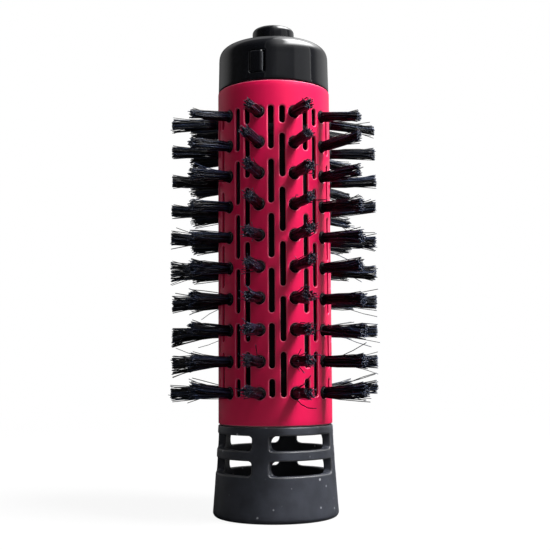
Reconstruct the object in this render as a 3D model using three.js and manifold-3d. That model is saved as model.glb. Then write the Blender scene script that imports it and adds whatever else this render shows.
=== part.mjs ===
// Rotating hot air brush head: a perforated barrel with tufts of bristles turns on a vented base collar.
// Millimetres, +Z up along the barrel's axis, origin at the centre of the collar's bottom rim.
// An azimuth is measured in degrees from the front (-Y) towards +X.
import * as THREE from 'three';
import { mergeVertices } from 'three/addons/utils/BufferGeometryUtils.js';
import Module from 'manifold-3d';

// ---------------------------------------------------------------- driving dimensions
const clearance = 0.3; // left between pieces that seat on, fit in or run on each other
const overlap = 0.4; // depth by which the shapes of one piece run into each other
const cutMargin = 1; // how far a cutter stands out of what it cuts

// base collar
const collarHeight = 25.2;
const collarFootRadius = 17.55;
const collarTopStep = 0.05; // how far the collar's top edge stands outside the barrel
const collarFootEdge = 1.3; // rounding of the outer edge that the head stands on
const collarWallTop = 2.1;
const collarWallFoot = 2.55;
const seatDepth = 0.7; // recess in the collar's top for the thrust washer
const webThickness = 1.2; // of the web that joins the collar's wall to its neck

// vents of the collar
const ventRows = 2;
const ventsPerRow = 4;
const ventHeight = 4;
const ventRib = 2.6; // left between two rows of vents
const ventBelowWeb = 0.25;
const ventPillar = 17.5; // degrees left between two vents of a row
const ventTurn = -14.7; // azimuth of the pillar nearest the front
const ventCorner = 0.9;

// lugs that lock the collar to the handle
const lugCount = 3;
const lugSpan = 22; // degrees
const lugReach = 1.2;
const lugHeight = 2;
const lugLift = 3.5; // from the bottom rim to the lug

// bearing between collar and drive spider
const neckWall = 1.7;
const grooveDepth = 0.7;
const neckLand = 0.9; // of the neck above its groove
const washerThickness = 0.6;
const clipThickness = 0.8;
const clipOverhang = 0.85; // how far the clip stands out of the neck
const clipGap = 40; // degrees that the retaining clip is open
const lipHeight = 2.9;
const skirtWall = 1;

// barrel
const barrelRadius = 16;
const barrelWall = 0.8;
const barrelLength = 94.1;

// pattern of bristle tufts
const rowCount = 10; // rows round the barrel
const ringCount = 10; // tufts in a row
const topRingDrop = 8.75; // from the barrel's top edge to the first ring of tufts
const lowRingLift = 8.67; // from the barrel's bottom edge to the last ring
const patternTurn = 2.7; // azimuth of the gap between two rows that faces the front

// air slots of the barrel, two columns between each two rows
const slotWidth = 1.5;
const slotShort = 4.8; // length of the short slot that ends each column
const slotBridge = 2.9; // metal between two slots of a column
const longSlots = 5; // in a column, besides its one short slot
const slotSpread = 3.17; // between the centrelines of the two columns
const slotTopDrop = 7.1; // from the barrel's top edge to the first slot
const slotLowLift = 7.7; // from the barrel's bottom edge to the last slot

// bristle carriers
const barWidth = 4.4;
const barThickness = 1.7;
const barEnd = 3.2; // of a bar beyond its last tuft
const tieThickness = 1.2;
const tieHeight = 3;
const tieCount = 2; // along a carrier
const tieInset = 6; // from a bar's end to its nearest tie
const bossRadius = 1.55;
const bossProud = 0.5; // how far a boss stands out of the barrel
const holeMargin = 0.2; // flat wall left beside a boss's hole

// bristles
const bristleReach = 14.1; // from the barrel's surface to the tips
const strandsPerTuft = 3;
const strandRadius = 0.58;
const tuftRootSpread = 0.7;
const tuftTipSpread = 1.9;
const tipScatter = 0.8; // the most by which a strand is shorter than the longest
const strandPhase = 115; // degrees of the tip scatter's wave from one strand to the next
const tuftPhase = 41; // degrees of that wave from one tuft to the next
const tuftTwist = 20; // degrees, the most by which one tuft is turned against another

// drive spider, its insert, and the rod and tube that hold the head together
const spokeCount = 5;
const spokeWidth = 2.2;
const spokeHeight = 3;
const bossWall = 1.4;
const insertFlats = 10; // across the insert's outer flats
const socketFlats = 7; // across the flats of the drive socket
const socketDepth = 6;
const hubWeb = 1.7; // over the rod's head
const rodRadius = 1.5;
const rodHeadFlats = 5.5;
const rodHeadHeight = 1.7;
const rodEnd = 0.6; // of the rod above its nut
const coreWall = 1; // of the tube round the rod that keeps the hot air near the barrel
const nutHeight = 2.2;
const nutWasherRadius = 3.6;
const nutWasherThickness = 0.6;

// top plug
const plugWall = 1.3;
const plugDisc = 1.6;
const guideWall = 1.7; // of the ring that centres the cap
const guideHeight = 6;

// end cap
const capInset = 0.14; // of the cap's bottom edge inside the barrel's outline
const capDraft = 0.16; // lost in radius up to the shoulder
const capStraight = 8.1;
const capWall = 1.2;
const domeRise = 5.7;
const domeReach = 13; // radial reach of the rounded shoulder
const domeExponent = 3.64; // 2 is an ellipse, and more is squarer
const capBossLength = 5.4;
const capBossWall = 1.8;

// tip knob
const knobRadius = 6;
const knobHeight = 4.8;
const knobEdge = 1.24;
const stemRadius = 2.2;
const knobWasherRadius = 4;
const knobWasherThickness = 0.8;
const screwRadius = 0.9;
const screwBite = 5; // of the screw in the stem
const screwHeadRadius = 2.1;
const screwHeadHeight = 1.3;

// snap tongues that hold the cap
const tongueAzimuths = { front: -16.3, rear: 163.7 };
const tongueWidth = 4.4;
const tongueThickness = 1.2;
const tongueRoot = 1.4; // height of the root block
const padHeight = 5.9;
const padLift = 2.3; // from the cap's bottom edge to the pad
const padProud = 0.2;
const windowMargin = 0.35; // round the pad
const windowHeadroom = 0.6; // above the pad, which rises as it swings in
const tongueTop = 0.3; // of the tongue above its pad

// number of flats that a round shape is built with
const shellSides = 36;
const innerSides = 24;
const coreSides = 20;
const knobSides = 20;
const smallSides = 12;
const arcStep = 30; // degrees of an arc to a flat
const edgeSteps = 3;
const footSteps = 2;
const cornerSteps = 2;
const domeSteps = 5;
const holeSides = 6;
const strandSides = 3;
const slotEndSteps = 3;

// ---------------------------------------------------------------- worked out from them
const rad = THREE.MathUtils.degToRad;
const flat = (radius, sides) => radius * Math.cos(Math.PI / sides); // distance to a flat of a round shape

const barrelInner = barrelRadius - barrelWall;
const rowStep = 360 / rowCount;
const holeRadius = bossRadius + clearance / Math.cos(Math.PI / holeSides);
const holeFlatTurn = THREE.MathUtils.radToDeg(Math.asin((holeRadius + holeMargin) / barrelInner));
const boreFlat = barrelInner * Math.cos(rad(Math.max(holeFlatTurn, rowStep / 4 - holeFlatTurn / 2)));
const seatZ = collarHeight - seatDepth;
const webUnder = seatZ - webThickness;
const ventTop = webUnder - ventBelowWeb;
const collarTopRadius = barrelRadius + collarTopStep;
const barrelBottom = collarHeight + clearance;
const barrelTop = barrelBottom + barrelLength;
const topRing = barrelTop - topRingDrop;
const lowRing = barrelBottom + lowRingLift;
const ringPitch = (topRing - lowRing) / (ringCount - 1);
const slotRun = barrelLength - slotTopDrop - slotLowLift;
const slotLong = (slotRun - slotShort) / longSlots - slotBridge;

const skirtOuter = boreFlat - clearance;
const skirtInner = skirtOuter - skirtWall;
const clipOuter = flat(skirtInner, innerSides) - clearance;
const neckRadius = clipOuter - clipOverhang;
const neckInner = neckRadius - neckWall;
const grooveRadius = neckRadius - grooveDepth;
const lipInner = (neckRadius + clearance) / Math.cos(Math.PI / innerSides);
const washerBottom = seatZ + clearance;
const spiderBottom = washerBottom + washerThickness + clearance;
const lipTop = spiderBottom + lipHeight;
const clipBottom = lipTop + clearance;
const clipTop = clipBottom + clipThickness;
const neckTop = clipTop + clearance + neckLand;

const carrierBottom = lowRing - barEnd;
const carrierTop = topRing + barEnd;
const barOuter = Math.sqrt((boreFlat - clearance) ** 2 - (barWidth / 2) ** 2);
const barInner = barOuter - barThickness;
const barMiddle = (barInner + barOuter) / 2;
const tieRadius = barMiddle * Math.cos(rad(rowStep / 2));
const tieInner = tieRadius - tieThickness / 2;
const tipRadius = barrelRadius + bristleReach;

const spokeBottom = neckTop + clearance;
const spokeTop = spokeBottom + spokeHeight;
const socketBottom = spiderBottom + clearance;
const insertTop = socketBottom + socketDepth;
const rodHeadBottom = insertTop + clearance;
const rodHeadTop = rodHeadBottom + rodHeadHeight;
const hubBoreTop = rodHeadTop + clearance;
const hubTop = hubBoreTop + hubWeb;
const hubFlats = insertFlats + 2 * clearance;
const hubRadius = hubFlats / 2 / Math.cos(Math.PI / 6) + bossWall;
const rodHole = rodRadius + clearance;
const coreOuter = Math.min(tieInner, barInner) - clearance;

const plugBottom = carrierTop + clearance;
const plugTop = barrelTop;
const nutWasherBottom = plugTop + clearance;
const nutBottom = nutWasherBottom + nutWasherThickness + clearance;
const rodTop = nutBottom + nutHeight + rodEnd;

const capBottom = barrelTop + clearance;
const capFootRadius = barrelRadius - capInset;
const capShoulderRadius = capFootRadius - capDraft;
const capShoulder = capBottom + capStraight;
const capTop = capShoulder + domeRise;
const capBore = capShoulderRadius - capWall;
const guideOuter = flat(capBore, shellSides) - clearance;
const stemHole = (stemRadius + clearance) / Math.cos(Math.PI / smallSides);
const capBossBottom = capTop - capWall - capBossLength;
const knobBottom = capTop + clearance;
const knobWasherTop = capBossBottom - clearance;
const knobWasherBottom = knobWasherTop - knobWasherThickness;
const screwHeadTop = knobWasherBottom - clearance;
const screwHole = screwRadius + clearance;

const tongueOuter = Math.sqrt(guideOuter ** 2 - (tongueWidth / 2) ** 2);
const tongueInner = tongueOuter - tongueThickness;
const tongueBottom = plugTop + clearance;
const padBottom = capBottom + padLift;
const padTop = padBottom + padHeight;

// ---------------------------------------------------------------- materials
const paint = (color, roughness, metalness = 0) =>
  new THREE.MeshStandardMaterial({ color, roughness, metalness });
const finishes = {
  barrel: paint(0xd41c54, 0.42, 0.25),
  matteBlack: paint(0x2a2b2e, 0.75),
  glossBlack: paint(0x0c0d10, 0.12),
  bristle: paint(0x121214, 0.5),
  innerPlastic: paint(0x1b1b1d, 0.6),
  acetal: paint(0xd8d6cc, 0.5),
  steel: paint(0xb4b6b8, 0.3, 1),
  brass: paint(0xb8963c, 0.35, 1),
};

// ---------------------------------------------------------------- shape tools
const wasm = await Module();
wasm.setup();

/** Turns a closed three.js geometry into a solid. */
function solid(geometry) {
  const loose = geometry.index ? geometry.toNonIndexed() : geometry;
  const bare = new THREE.BufferGeometry().setAttribute('position', loose.getAttribute('position'));
  const merged = mergeVertices(bare, 1e-4);
  const index = merged.index.array;
  const kept = [];
  for (let i = 0; i < index.length; i += 3) {
    const [a, b, c] = [index[i], index[i + 1], index[i + 2]];
    if (a !== b && b !== c && c !== a) kept.push(a, b, c);
  }
  const vertProperties = merged.attributes.position.array;
  return new wasm.Manifold(new wasm.Mesh({ numProp: 3, vertProperties, triVerts: new Uint32Array(kept) }));
}

/** The azimuth of a row of tufts. */
const rowAzimuth = (row) => patternTurn + (row - 0.5) * rowStep;

const join = (solids) => solids.reduce((whole, next) => whole.add(next));
const cut = (whole, cutters) => whole.subtract(join(cutters));

/** A named mesh of a solid. */
function piece(name, shape, material) {
  const { vertProperties, triVerts } = shape.getMesh();
  const geometry = new THREE.BufferGeometry();
  geometry.setAttribute('position', new THREE.BufferAttribute(vertProperties, 3));
  geometry.setIndex(new THREE.BufferAttribute(triVerts, 1));
  const faceted = geometry.toNonIndexed();
  faceted.computeVertexNormals();
  const mesh = new THREE.Mesh(faceted, material);
  mesh.name = name;
  return mesh;
}

/** Turns a closed outline of [radius, z] points about Z, with an edge of the round shape at an azimuth. */
function revolve(outline, sides, edgeAzimuth = 0) {
  const points = outline.map(([r, z]) => new THREE.Vector2(r, z));
  if (THREE.ShapeUtils.area(points) < 0) points.reverse();
  points.push(points[0].clone());
  return solid(new THREE.LatheGeometry(points, sides, rad(edgeAzimuth)).rotateX(Math.PI / 2));
}

const tube = (inner, outer, bottom, top, sides, edgeAzimuth) =>
  revolve([[inner, bottom], [outer, bottom], [outer, top], [inner, top]], sides, edgeAzimuth);

/** Corners of a regular outline about [0, middle], as [along, z] points that start at an angle. */
const regular = (radius, sides, start = 0, middle = 0) =>
  Array.from({ length: sides }, (_, i) => {
    const angle = start + 2 * Math.PI * i / sides;
    return [radius * Math.cos(angle), middle + radius * Math.sin(angle)];
  });

const toShape = (outline) => new THREE.Shape(outline.map(([x, y]) => new THREE.Vector2(x, y)));

/** A round bar on the axis, with an edge towards the front. */
const bar = (radius, bottom, top, sides) =>
  solid(new THREE.ExtrudeGeometry(toShape(regular(radius, sides, -Math.PI / 2)), {
    depth: top - bottom,
    bevelEnabled: false,
  }).translate(0, 0, bottom));

/** A bar on the axis with six flats. */
const hexBar = (flats, bottom, top) => bar(flats / 2 / Math.cos(Math.PI / 6), bottom, top, 6);

/** A box whose middle plane holds the axis, from one radius to another at an azimuth. */
const radialBox = (width, inner, outer, bottom, top, azimuth) =>
  solid(new THREE.BoxGeometry(width, outer - inner, top - bottom)
    .translate(0, -(inner + outer) / 2, (bottom + top) / 2)).rotate([0, 0, azimuth]);

/** A stretch of a ring about the axis, centred on an azimuth. */
function arcBlock(inner, outer, bottom, top, azimuth, span) {
  const [from, to] = [rad(azimuth - span / 2 - 90), rad(azimuth + span / 2 - 90)];
  const shape = new THREE.Shape().absarc(0, 0, outer, from, to, false).absarc(0, 0, inner, to, from, true);
  const curveSegments = Math.ceil(span / arcStep);
  const depth = top - bottom;
  return solid(new THREE.ExtrudeGeometry(shape, { depth, bevelEnabled: false, curveSegments })
    .translate(0, 0, bottom));
}

/**
 * Everything between two radii that lies behind an outline wrapped round the axis.
 * The outline's points are [azimuth in degrees, z], anticlockwise seen from outside.
 */
function radialCutter(outline, inner, outer) {
  const n = outline.length;
  const at = (radius) => outline.flatMap(([azimuth, z]) =>
    [radius * Math.sin(rad(azimuth)), -radius * Math.cos(rad(azimuth)), z]);
  const faces = THREE.ShapeUtils.triangulateShape(outline.map(([a, z]) => new THREE.Vector2(a, z)), []);
  const index = faces.flatMap(([a, b, c]) => [a + n, b + n, c + n, c, b, a]);
  outline.forEach((_, i) => {
    const j = (i + 1) % n;
    index.push(i, j, j + n, i, j + n, i + n);
  });
  const geometry = new THREE.BufferGeometry();
  geometry.setAttribute('position', new THREE.Float32BufferAttribute([...at(inner), ...at(outer)], 3));
  geometry.setIndex(index);
  return solid(geometry);
}

/** A straight cutter along a radius, whose outline of [along, z] points lies across it at an azimuth. */
function drill(outline, inner, outer, azimuth) {
  return solid(new THREE.ExtrudeGeometry(toShape(outline), { depth: outer - inner, bevelEnabled: false })
    .rotateX(Math.PI / 2).translate(0, -inner, 0)).rotate([0, 0, azimuth]);
}

/** Outline of a box with rounded corners, as [along, z] points about [0, middle]. */
function roundedBox(width, bottom, top, radius, steps) {
  const corners = [[1, -1, -90], [1, 1, 0], [-1, 1, 90], [-1, -1, 180]];
  const [halfWidth, halfHeight] = [width / 2 - radius, (top - bottom) / 2 - radius];
  return corners.flatMap(([sx, sz, start]) => Array.from({ length: steps + 1 }, (_, i) => {
    const angle = rad(start + 90 * i / steps);
    const centre = [sx * halfWidth, (bottom + top) / 2 + sz * halfHeight];
    return [centre[0] + radius * Math.cos(angle), centre[1] + radius * Math.sin(angle)];
  }));
}

/** Outline of a stadium that stands on end, as [along, z] points. */
function stadium(width, bottom, top, steps) {
  const radius = width / 2;
  const end = (centre, start) => Array.from({ length: steps + 1 }, (_, i) => {
    const angle = rad(start + 180 * i / steps);
    return [radius * Math.cos(angle), centre + radius * Math.sin(angle)];
  });
  return [...end(top - radius, 0), ...end(bottom + radius, 180)];
}

/** An outline in millimetres along a round surface, turned into azimuths about a middle one. */
const wrap = (outline, radius, azimuth) =>
  outline.map(([along, z]) => [azimuth + THREE.MathUtils.radToDeg(along / radius), z]);

// ---------------------------------------------------------------- base collar and bearing
function baseCollar() {
  const footArc = Array.from({ length: footSteps + 1 }, (_, i) => {
    const angle = rad(-90 + 90 * i / footSteps);
    const inset = collarFootEdge * (1 - Math.cos(angle));
    return [collarFootRadius - inset, collarFootEdge * (1 + Math.sin(angle))];
  });
  const shell = revolve([
    [collarFootRadius - collarWallFoot, 0],
    ...footArc,
    [collarTopRadius, collarHeight],
    [skirtOuter + clearance, collarHeight],
    [skirtOuter + clearance, seatZ],
    [neckRadius, seatZ],
    [neckRadius, lipTop],
    [grooveRadius, lipTop],
    [grooveRadius, clipTop + clearance],
    [neckRadius, clipTop + clearance],
    [neckRadius, neckTop],
    [neckInner, neckTop],
    [neckInner, webUnder],
    [collarTopRadius - collarWallTop, webUnder],
  ], shellSides);
  const span = 360 / ventsPerRow - ventPillar;
  const vents = [];
  for (let row = 0; row < ventRows; row++) {
    const top = ventTop - row * (ventHeight + ventRib);
    const outline = roundedBox(rad(span) * barrelRadius, top - ventHeight, top, ventCorner, cornerSteps);
    for (let i = 0; i < ventsPerRow; i++) {
      const azimuth = ventTurn + (i + 0.5) * 360 / ventsPerRow;
      vents.push(radialCutter(wrap(outline, barrelRadius, azimuth), neckInner, 2 * collarFootRadius));
    }
  }
  const inner = collarFootRadius - collarWallFoot;
  const lugs = Array.from({ length: lugCount }, (_, i) => {
    const azimuth = i * 360 / lugCount;
    return arcBlock(inner - lugReach, inner + overlap, lugLift, lugLift + lugHeight, azimuth, lugSpan);
  });
  return join([cut(shell, vents), ...lugs]);
}

const thrustWasher = () =>
  tube(neckRadius + clearance, skirtOuter, washerBottom, washerBottom + washerThickness, innerSides);

const retainingClip = () =>
  arcBlock(grooveRadius + clearance, clipOuter, clipBottom, clipTop, 0, 360 - clipGap);

// ---------------------------------------------------------------- barrel
const wallCutter = (outline, azimuth) =>
  drill(outline, barrelInner - cutMargin, barrelRadius + cutMargin, azimuth);

/** One column of slots, with its short slot at the top or at the bottom. */
function slotCutters(azimuth, shortFirst) {
  const lengths = Array(longSlots).fill(slotLong);
  if (shortFirst) {
    lengths.unshift(slotShort);
  } else {
    lengths.push(slotShort);
  }
  let top = barrelTop - slotTopDrop;
  return lengths.map((length) => {
    const outline = stadium(slotWidth, top - length, top, slotEndSteps);
    top -= length + slotBridge;
    return wallCutter(outline, azimuth);
  });
}

/** The barrel has a flat for each row of holes, and an edge in the middle of each gap. */
function barrelTube() {
  const cutters = [];
  const edges = [];
  const columnTurn = THREE.MathUtils.radToDeg(slotSpread / 2 / barrelRadius);
  for (let row = 0; row < rowCount; row++) {
    const gap = patternTurn + row * rowStep;
    const holes = gap + rowStep / 2;
    edges.push(gap, holes - holeFlatTurn, holes + holeFlatTurn);
    cutters.push(...slotCutters(gap - columnTurn, false), ...slotCutters(gap + columnTurn, true));
    for (let ring = 0; ring < ringCount; ring++) {
      cutters.push(wallCutter(regular(holeRadius, holeSides, 0, topRing - ring * ringPitch), holes));
    }
  }
  const outline = (radius) => edges.map((azimuth) =>
    [radius * Math.sin(rad(azimuth)), -radius * Math.cos(rad(azimuth))]);
  const section = toShape(outline(barrelRadius));
  section.holes.push(toShape(outline(barrelInner)));
  const wall = new THREE.ExtrudeGeometry(section, { depth: barrelLength, bevelEnabled: false });
  return cut(solid(wall.translate(0, 0, barrelBottom)), cutters);
}

// ---------------------------------------------------------------- bristle carriers
/** One strand, which starts inside its boss and leans outwards, towards a direction across the tuft. */
function strand(direction, shortfall) {
  const root = barrelRadius + bossProud - overlap;
  const reach = tipRadius - shortfall - root;
  const lean = Math.atan2(tuftTipSpread - tuftRootSpread, reach);
  const length = reach / Math.cos(lean);
  return bar(strandRadius, 0, length, strandSides)
    .rotate([0, THREE.MathUtils.radToDeg(lean), 0])
    .translate([tuftRootSpread, 0, root])
    .rotate([0, 0, direction]);
}

/** A boss with its strands. Opposite rows have the same strands, so that the head is balanced. */
function tuft(row, ring) {
  const seed = (row % (rowCount / 2)) * ringCount + ring;
  const boss = bar(bossRadius, barOuter - overlap, barrelRadius + bossProud, holeSides).rotate([0, 0, 90]);
  const strands = Array.from({ length: strandsPerTuft }, (_, i) => {
    const direction = 360 * i / strandsPerTuft + tuftTwist * Math.sin(rad(tuftPhase * seed));
    return strand(direction, tipScatter * (1 + Math.sin(rad(tuftPhase * seed + strandPhase * i))) / 2);
  });
  return join([boss, ...strands])
    .rotate([90, 0, 0])
    .translate([0, 0, topRing - ring * ringPitch])
    .rotate([0, 0, rowAzimuth(row)]);
}

/** A carrier: a bar with its tufts for each of its rows, and flat ties from each bar to the next. */
function bristleCarrier(rows) {
  const tieSpan = 2 * barMiddle * Math.sin(rad(rowStep / 2));
  const reach = carrierTop - carrierBottom - 2 * tieInset - tieHeight;
  const parts = rows.flatMap((row) => [
    radialBox(barWidth, barInner, barOuter, carrierBottom, carrierTop, rowAzimuth(row)),
    ...Array.from({ length: ringCount }, (_, ring) => tuft(row, ring)),
  ]);
  for (const row of rows.slice(1)) {
    for (let tie = 0; tie < tieCount; tie++) {
      const bottom = carrierBottom + tieInset + reach * tie / (tieCount - 1);
      const azimuth = rowAzimuth(row) - rowStep / 2;
      parts.push(
        radialBox(tieSpan, tieInner, tieInner + tieThickness, bottom, bottom + tieHeight, azimuth));
    }
  }
  return join(parts);
}

// ---------------------------------------------------------------- drive spider, tie rod and core tube
function driveSpider() {
  const skirtTop = carrierBottom - clearance;
  const skirt = revolve([
    [lipInner, spiderBottom],
    [skirtOuter, spiderBottom],
    [skirtOuter, skirtTop],
    [skirtInner, skirtTop],
    [skirtInner, lipTop],
    [lipInner, lipTop],
  ], innerSides);
  const spokes = Array.from({ length: spokeCount }, (_, i) => {
    const azimuth = patternTurn + i * 360 / spokeCount;
    const arm = [hubRadius - overlap, skirtOuter - overlap, spokeBottom, spokeTop];
    const foot = [skirtInner + overlap / 2, skirtOuter - overlap, skirtTop - overlap, spokeTop];
    return radialBox(spokeWidth, ...arm, azimuth).add(radialBox(spokeWidth, ...foot, azimuth));
  });
  const hub = bar(hubRadius, socketBottom, hubTop, innerSides);
  return cut(join([skirt, ...spokes, hub]), [
    hexBar(hubFlats, socketBottom - cutMargin, hubBoreTop),
    bar(rodHole, socketBottom, hubTop + cutMargin, smallSides),
  ]);
}

const driveInsert = () =>
  cut(hexBar(insertFlats, socketBottom, insertTop), [
    hexBar(socketFlats, socketBottom - cutMargin, insertTop + cutMargin),
  ]);

const tieRod = () =>
  join([
    hexBar(rodHeadFlats, rodHeadBottom, rodHeadTop),
    bar(rodRadius, rodHeadTop - overlap, rodTop, smallSides),
  ]);

/** Stands on the spider's spokes and holds the top plug up against the rod's pull. */
const coreTube = () =>
  tube(coreOuter - coreWall, coreOuter, spokeTop + clearance, plugTop - plugDisc - clearance, coreSides);

const tieWasher = () =>
  tube(rodHole, nutWasherRadius, nutWasherBottom, nutWasherBottom + nutWasherThickness, smallSides);

const tieNut = () =>
  cut(hexBar(rodHeadFlats + 2 * clearance, nutBottom, nutBottom + nutHeight), [
    bar(rodHole, nutBottom - cutMargin, nutBottom + nutHeight + cutMargin, smallSides),
  ]);

// ---------------------------------------------------------------- top plug
function topPlug() {
  const body = revolve([
    [rodHole, plugTop - plugDisc],
    [skirtOuter - plugWall, plugTop - plugDisc],
    [skirtOuter - plugWall, plugBottom],
    [skirtOuter, plugBottom],
    [skirtOuter, plugTop],
    [guideOuter, plugTop],
    [guideOuter, plugTop + guideHeight],
    [guideOuter - guideWall, plugTop + guideHeight],
    [guideOuter - guideWall, plugTop],
    [rodHole, plugTop],
  ], innerSides);
  const notches = Object.values(tongueAzimuths).map((azimuth) =>
    radialBox(tongueWidth + 2 * clearance, guideOuter - guideWall - cutMargin, barrelRadius,
      plugTop, plugTop + guideHeight + cutMargin, azimuth));
  return cut(body, notches);
}

// ---------------------------------------------------------------- end cap
/** The cap's outline from its bottom edge up to the axis, moved inwards and down by an inset. */
function capOutline(inset, steps) {
  const shoulder = Array.from({ length: steps + 1 }, (_, i) => {
    const angle = rad(90 * i / steps);
    const radius = capShoulderRadius - inset - domeReach * (1 - Math.cos(angle) ** (2 / domeExponent));
    return [radius, capShoulder - inset + domeRise * Math.sin(angle) ** (2 / domeExponent)];
  });
  return [[inset > 0 ? capBore : capFootRadius, capBottom], ...shoulder];
}

function endCap() {
  const shell = revolve([
    ...capOutline(0, domeSteps),
    [stemHole, capTop],
    [stemHole, capBossBottom],
    [stemHole + capBossWall, capBossBottom],
    [stemHole + capBossWall, capTop - capWall],
    ...capOutline(capWall, edgeSteps).filter(([radius]) => radius > stemHole + capBossWall).reverse(),
  ], shellSides);
  const windows = Object.values(tongueAzimuths).map((azimuth) =>
    radialBox(tongueWidth + 2 * windowMargin, tongueOuter - cutMargin, barrelRadius + cutMargin,
      padBottom - windowMargin, padTop + windowHeadroom, azimuth));
  return cut(shell, windows);
}

// ---------------------------------------------------------------- tip knob
function tipKnob() {
  const knobTop = knobBottom + knobHeight;
  const edge = Array.from({ length: edgeSteps + 1 }, (_, i) => {
    const angle = rad(90 * i / edgeSteps);
    const inset = knobEdge * (1 - Math.cos(angle));
    return [knobRadius - inset, knobTop - knobEdge * (1 - Math.sin(angle))];
  });
  const head = revolve([[0, knobBottom], [knobRadius, knobBottom], ...edge, [0, knobTop]], knobSides);
  const stem = bar(stemRadius, capBossBottom, knobBottom + overlap, smallSides);
  const boreTop = capBossBottom + screwBite + clearance;
  return cut(join([head, stem]), [bar(screwHole, capBossBottom - cutMargin, boreTop, smallSides)]);
}

const knobWasher = () =>
  tube(screwHole, knobWasherRadius, knobWasherBottom, knobWasherTop, smallSides);

const knobScrew = () =>
  join([
    bar(screwHeadRadius, screwHeadTop - screwHeadHeight, screwHeadTop, smallSides),
    bar(screwRadius, screwHeadTop - overlap, capBossBottom + screwBite, smallSides),
  ]);

// ---------------------------------------------------------------- snap tongues
function snapTongue(azimuth) {
  const padFace = capShoulderRadius + padProud;
  const rootTop = tongueBottom + tongueRoot;
  return join([
    radialBox(tongueWidth, tongueInner, tongueOuter, tongueBottom, padTop + tongueTop, azimuth),
    radialBox(tongueWidth, tongueInner - overlap, tongueOuter, tongueBottom, rootTop, azimuth),
    radialBox(tongueWidth, tongueInner + overlap, padFace, padBottom, padTop, azimuth),
  ]);
}

// ---------------------------------------------------------------- the head
const base = new THREE.Group();
base.add(
  piece('base_collar', baseCollar(), finishes.matteBlack),
  piece('thrust_washer', thrustWasher(), finishes.acetal),
  piece('retaining_clip', retainingClip(), finishes.steel),
);

const brush = new THREE.Group();
brush.add(
  piece('barrel_tube', barrelTube(), finishes.barrel),
  piece('drive_spider', driveSpider(), finishes.innerPlastic),
  piece('drive_insert', driveInsert(), finishes.brass),
  piece('tie_rod', tieRod(), finishes.steel),
  piece('core_tube', coreTube(), finishes.innerPlastic),
  piece('tie_washer', tieWasher(), finishes.steel),
  piece('tie_nut', tieNut(), finishes.steel),
  piece('top_plug', topPlug(), finishes.innerPlastic),
  piece('end_cap', endCap(), finishes.glossBlack),
);
const carrierRows = [[0, 1, 2], [3, 4], [5, 6, 7], [8, 9]];
carrierRows.forEach((rows, i) =>
  brush.add(piece(`bristle_carrier_${i + 1}`, bristleCarrier(rows), finishes.bristle)));

const knob = new THREE.Group();
knob.add(
  piece('tip_knob', tipKnob(), finishes.glossBlack),
  piece('knob_washer', knobWasher(), finishes.steel),
  piece('knob_screw', knobScrew(), finishes.steel),
);

const tongues = new THREE.Group();
for (const [side, azimuth] of Object.entries(tongueAzimuths)) {
  tongues.add(piece(`snap_tongue_${side}`, snapTongue(azimuth), finishes.glossBlack));
}

brush.add(knob, tongues);
const head = new THREE.Group();
head.add(base, brush);
export default head;
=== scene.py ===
"""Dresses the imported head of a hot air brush: fine surfaces, finishes, stage, light and camera.

Sizes are in millimetres and turn into metres when a mesh is made. An azimuth is measured from the
front (-Y) towards +X, in degrees where a field holds it and in radians inside the formulas. A finish
gives its patterns' scales in clouds to a metre and its depths in metres.
"""

import logging
import math
from dataclasses import dataclass, field
from enum import Enum
from typing import Any, Callable, Sequence

import bmesh
import bpy
import numpy as np
from mathutils import Matrix, Vector
from mathutils.geometry import delaunay_2d_cdt


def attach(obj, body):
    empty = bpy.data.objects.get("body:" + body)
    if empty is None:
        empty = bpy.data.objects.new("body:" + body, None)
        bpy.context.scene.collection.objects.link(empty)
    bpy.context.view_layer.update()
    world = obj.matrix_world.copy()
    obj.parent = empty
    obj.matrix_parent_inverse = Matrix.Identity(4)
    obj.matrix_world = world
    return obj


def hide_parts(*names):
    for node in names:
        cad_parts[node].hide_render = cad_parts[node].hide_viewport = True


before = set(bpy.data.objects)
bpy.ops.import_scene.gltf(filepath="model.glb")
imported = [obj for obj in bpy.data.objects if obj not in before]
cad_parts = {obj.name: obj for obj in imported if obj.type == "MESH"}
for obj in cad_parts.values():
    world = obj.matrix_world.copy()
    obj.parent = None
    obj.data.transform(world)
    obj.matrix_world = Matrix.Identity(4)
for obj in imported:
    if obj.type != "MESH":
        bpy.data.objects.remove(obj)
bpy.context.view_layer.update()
LOG = logging.getLogger("brush_head")
MM = 0.001
# A length in millimetres that counts as none, and the distance in metres at which points are welded.
TINY = 1e-6
WELD = 1e-7
MOULDED_MARK = -1.0
# The mark of a painted highlight: a grey band on one edge of each cap pad.
PAINTED_HIGHLIGHT_MARK = 2.0
Colour = tuple[float, float, float, float]
Pair = tuple[float, float]
Profile = Sequence[Pair]


class Body(Enum):
    """The bodies that pieces ride on."""

    BASE = "base"
    BRUSH = "brush"
    KNOB = "knob"
    TONGUE_FRONT = "tongue_front"
    TONGUE_REAR = "tongue_rear"


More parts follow.
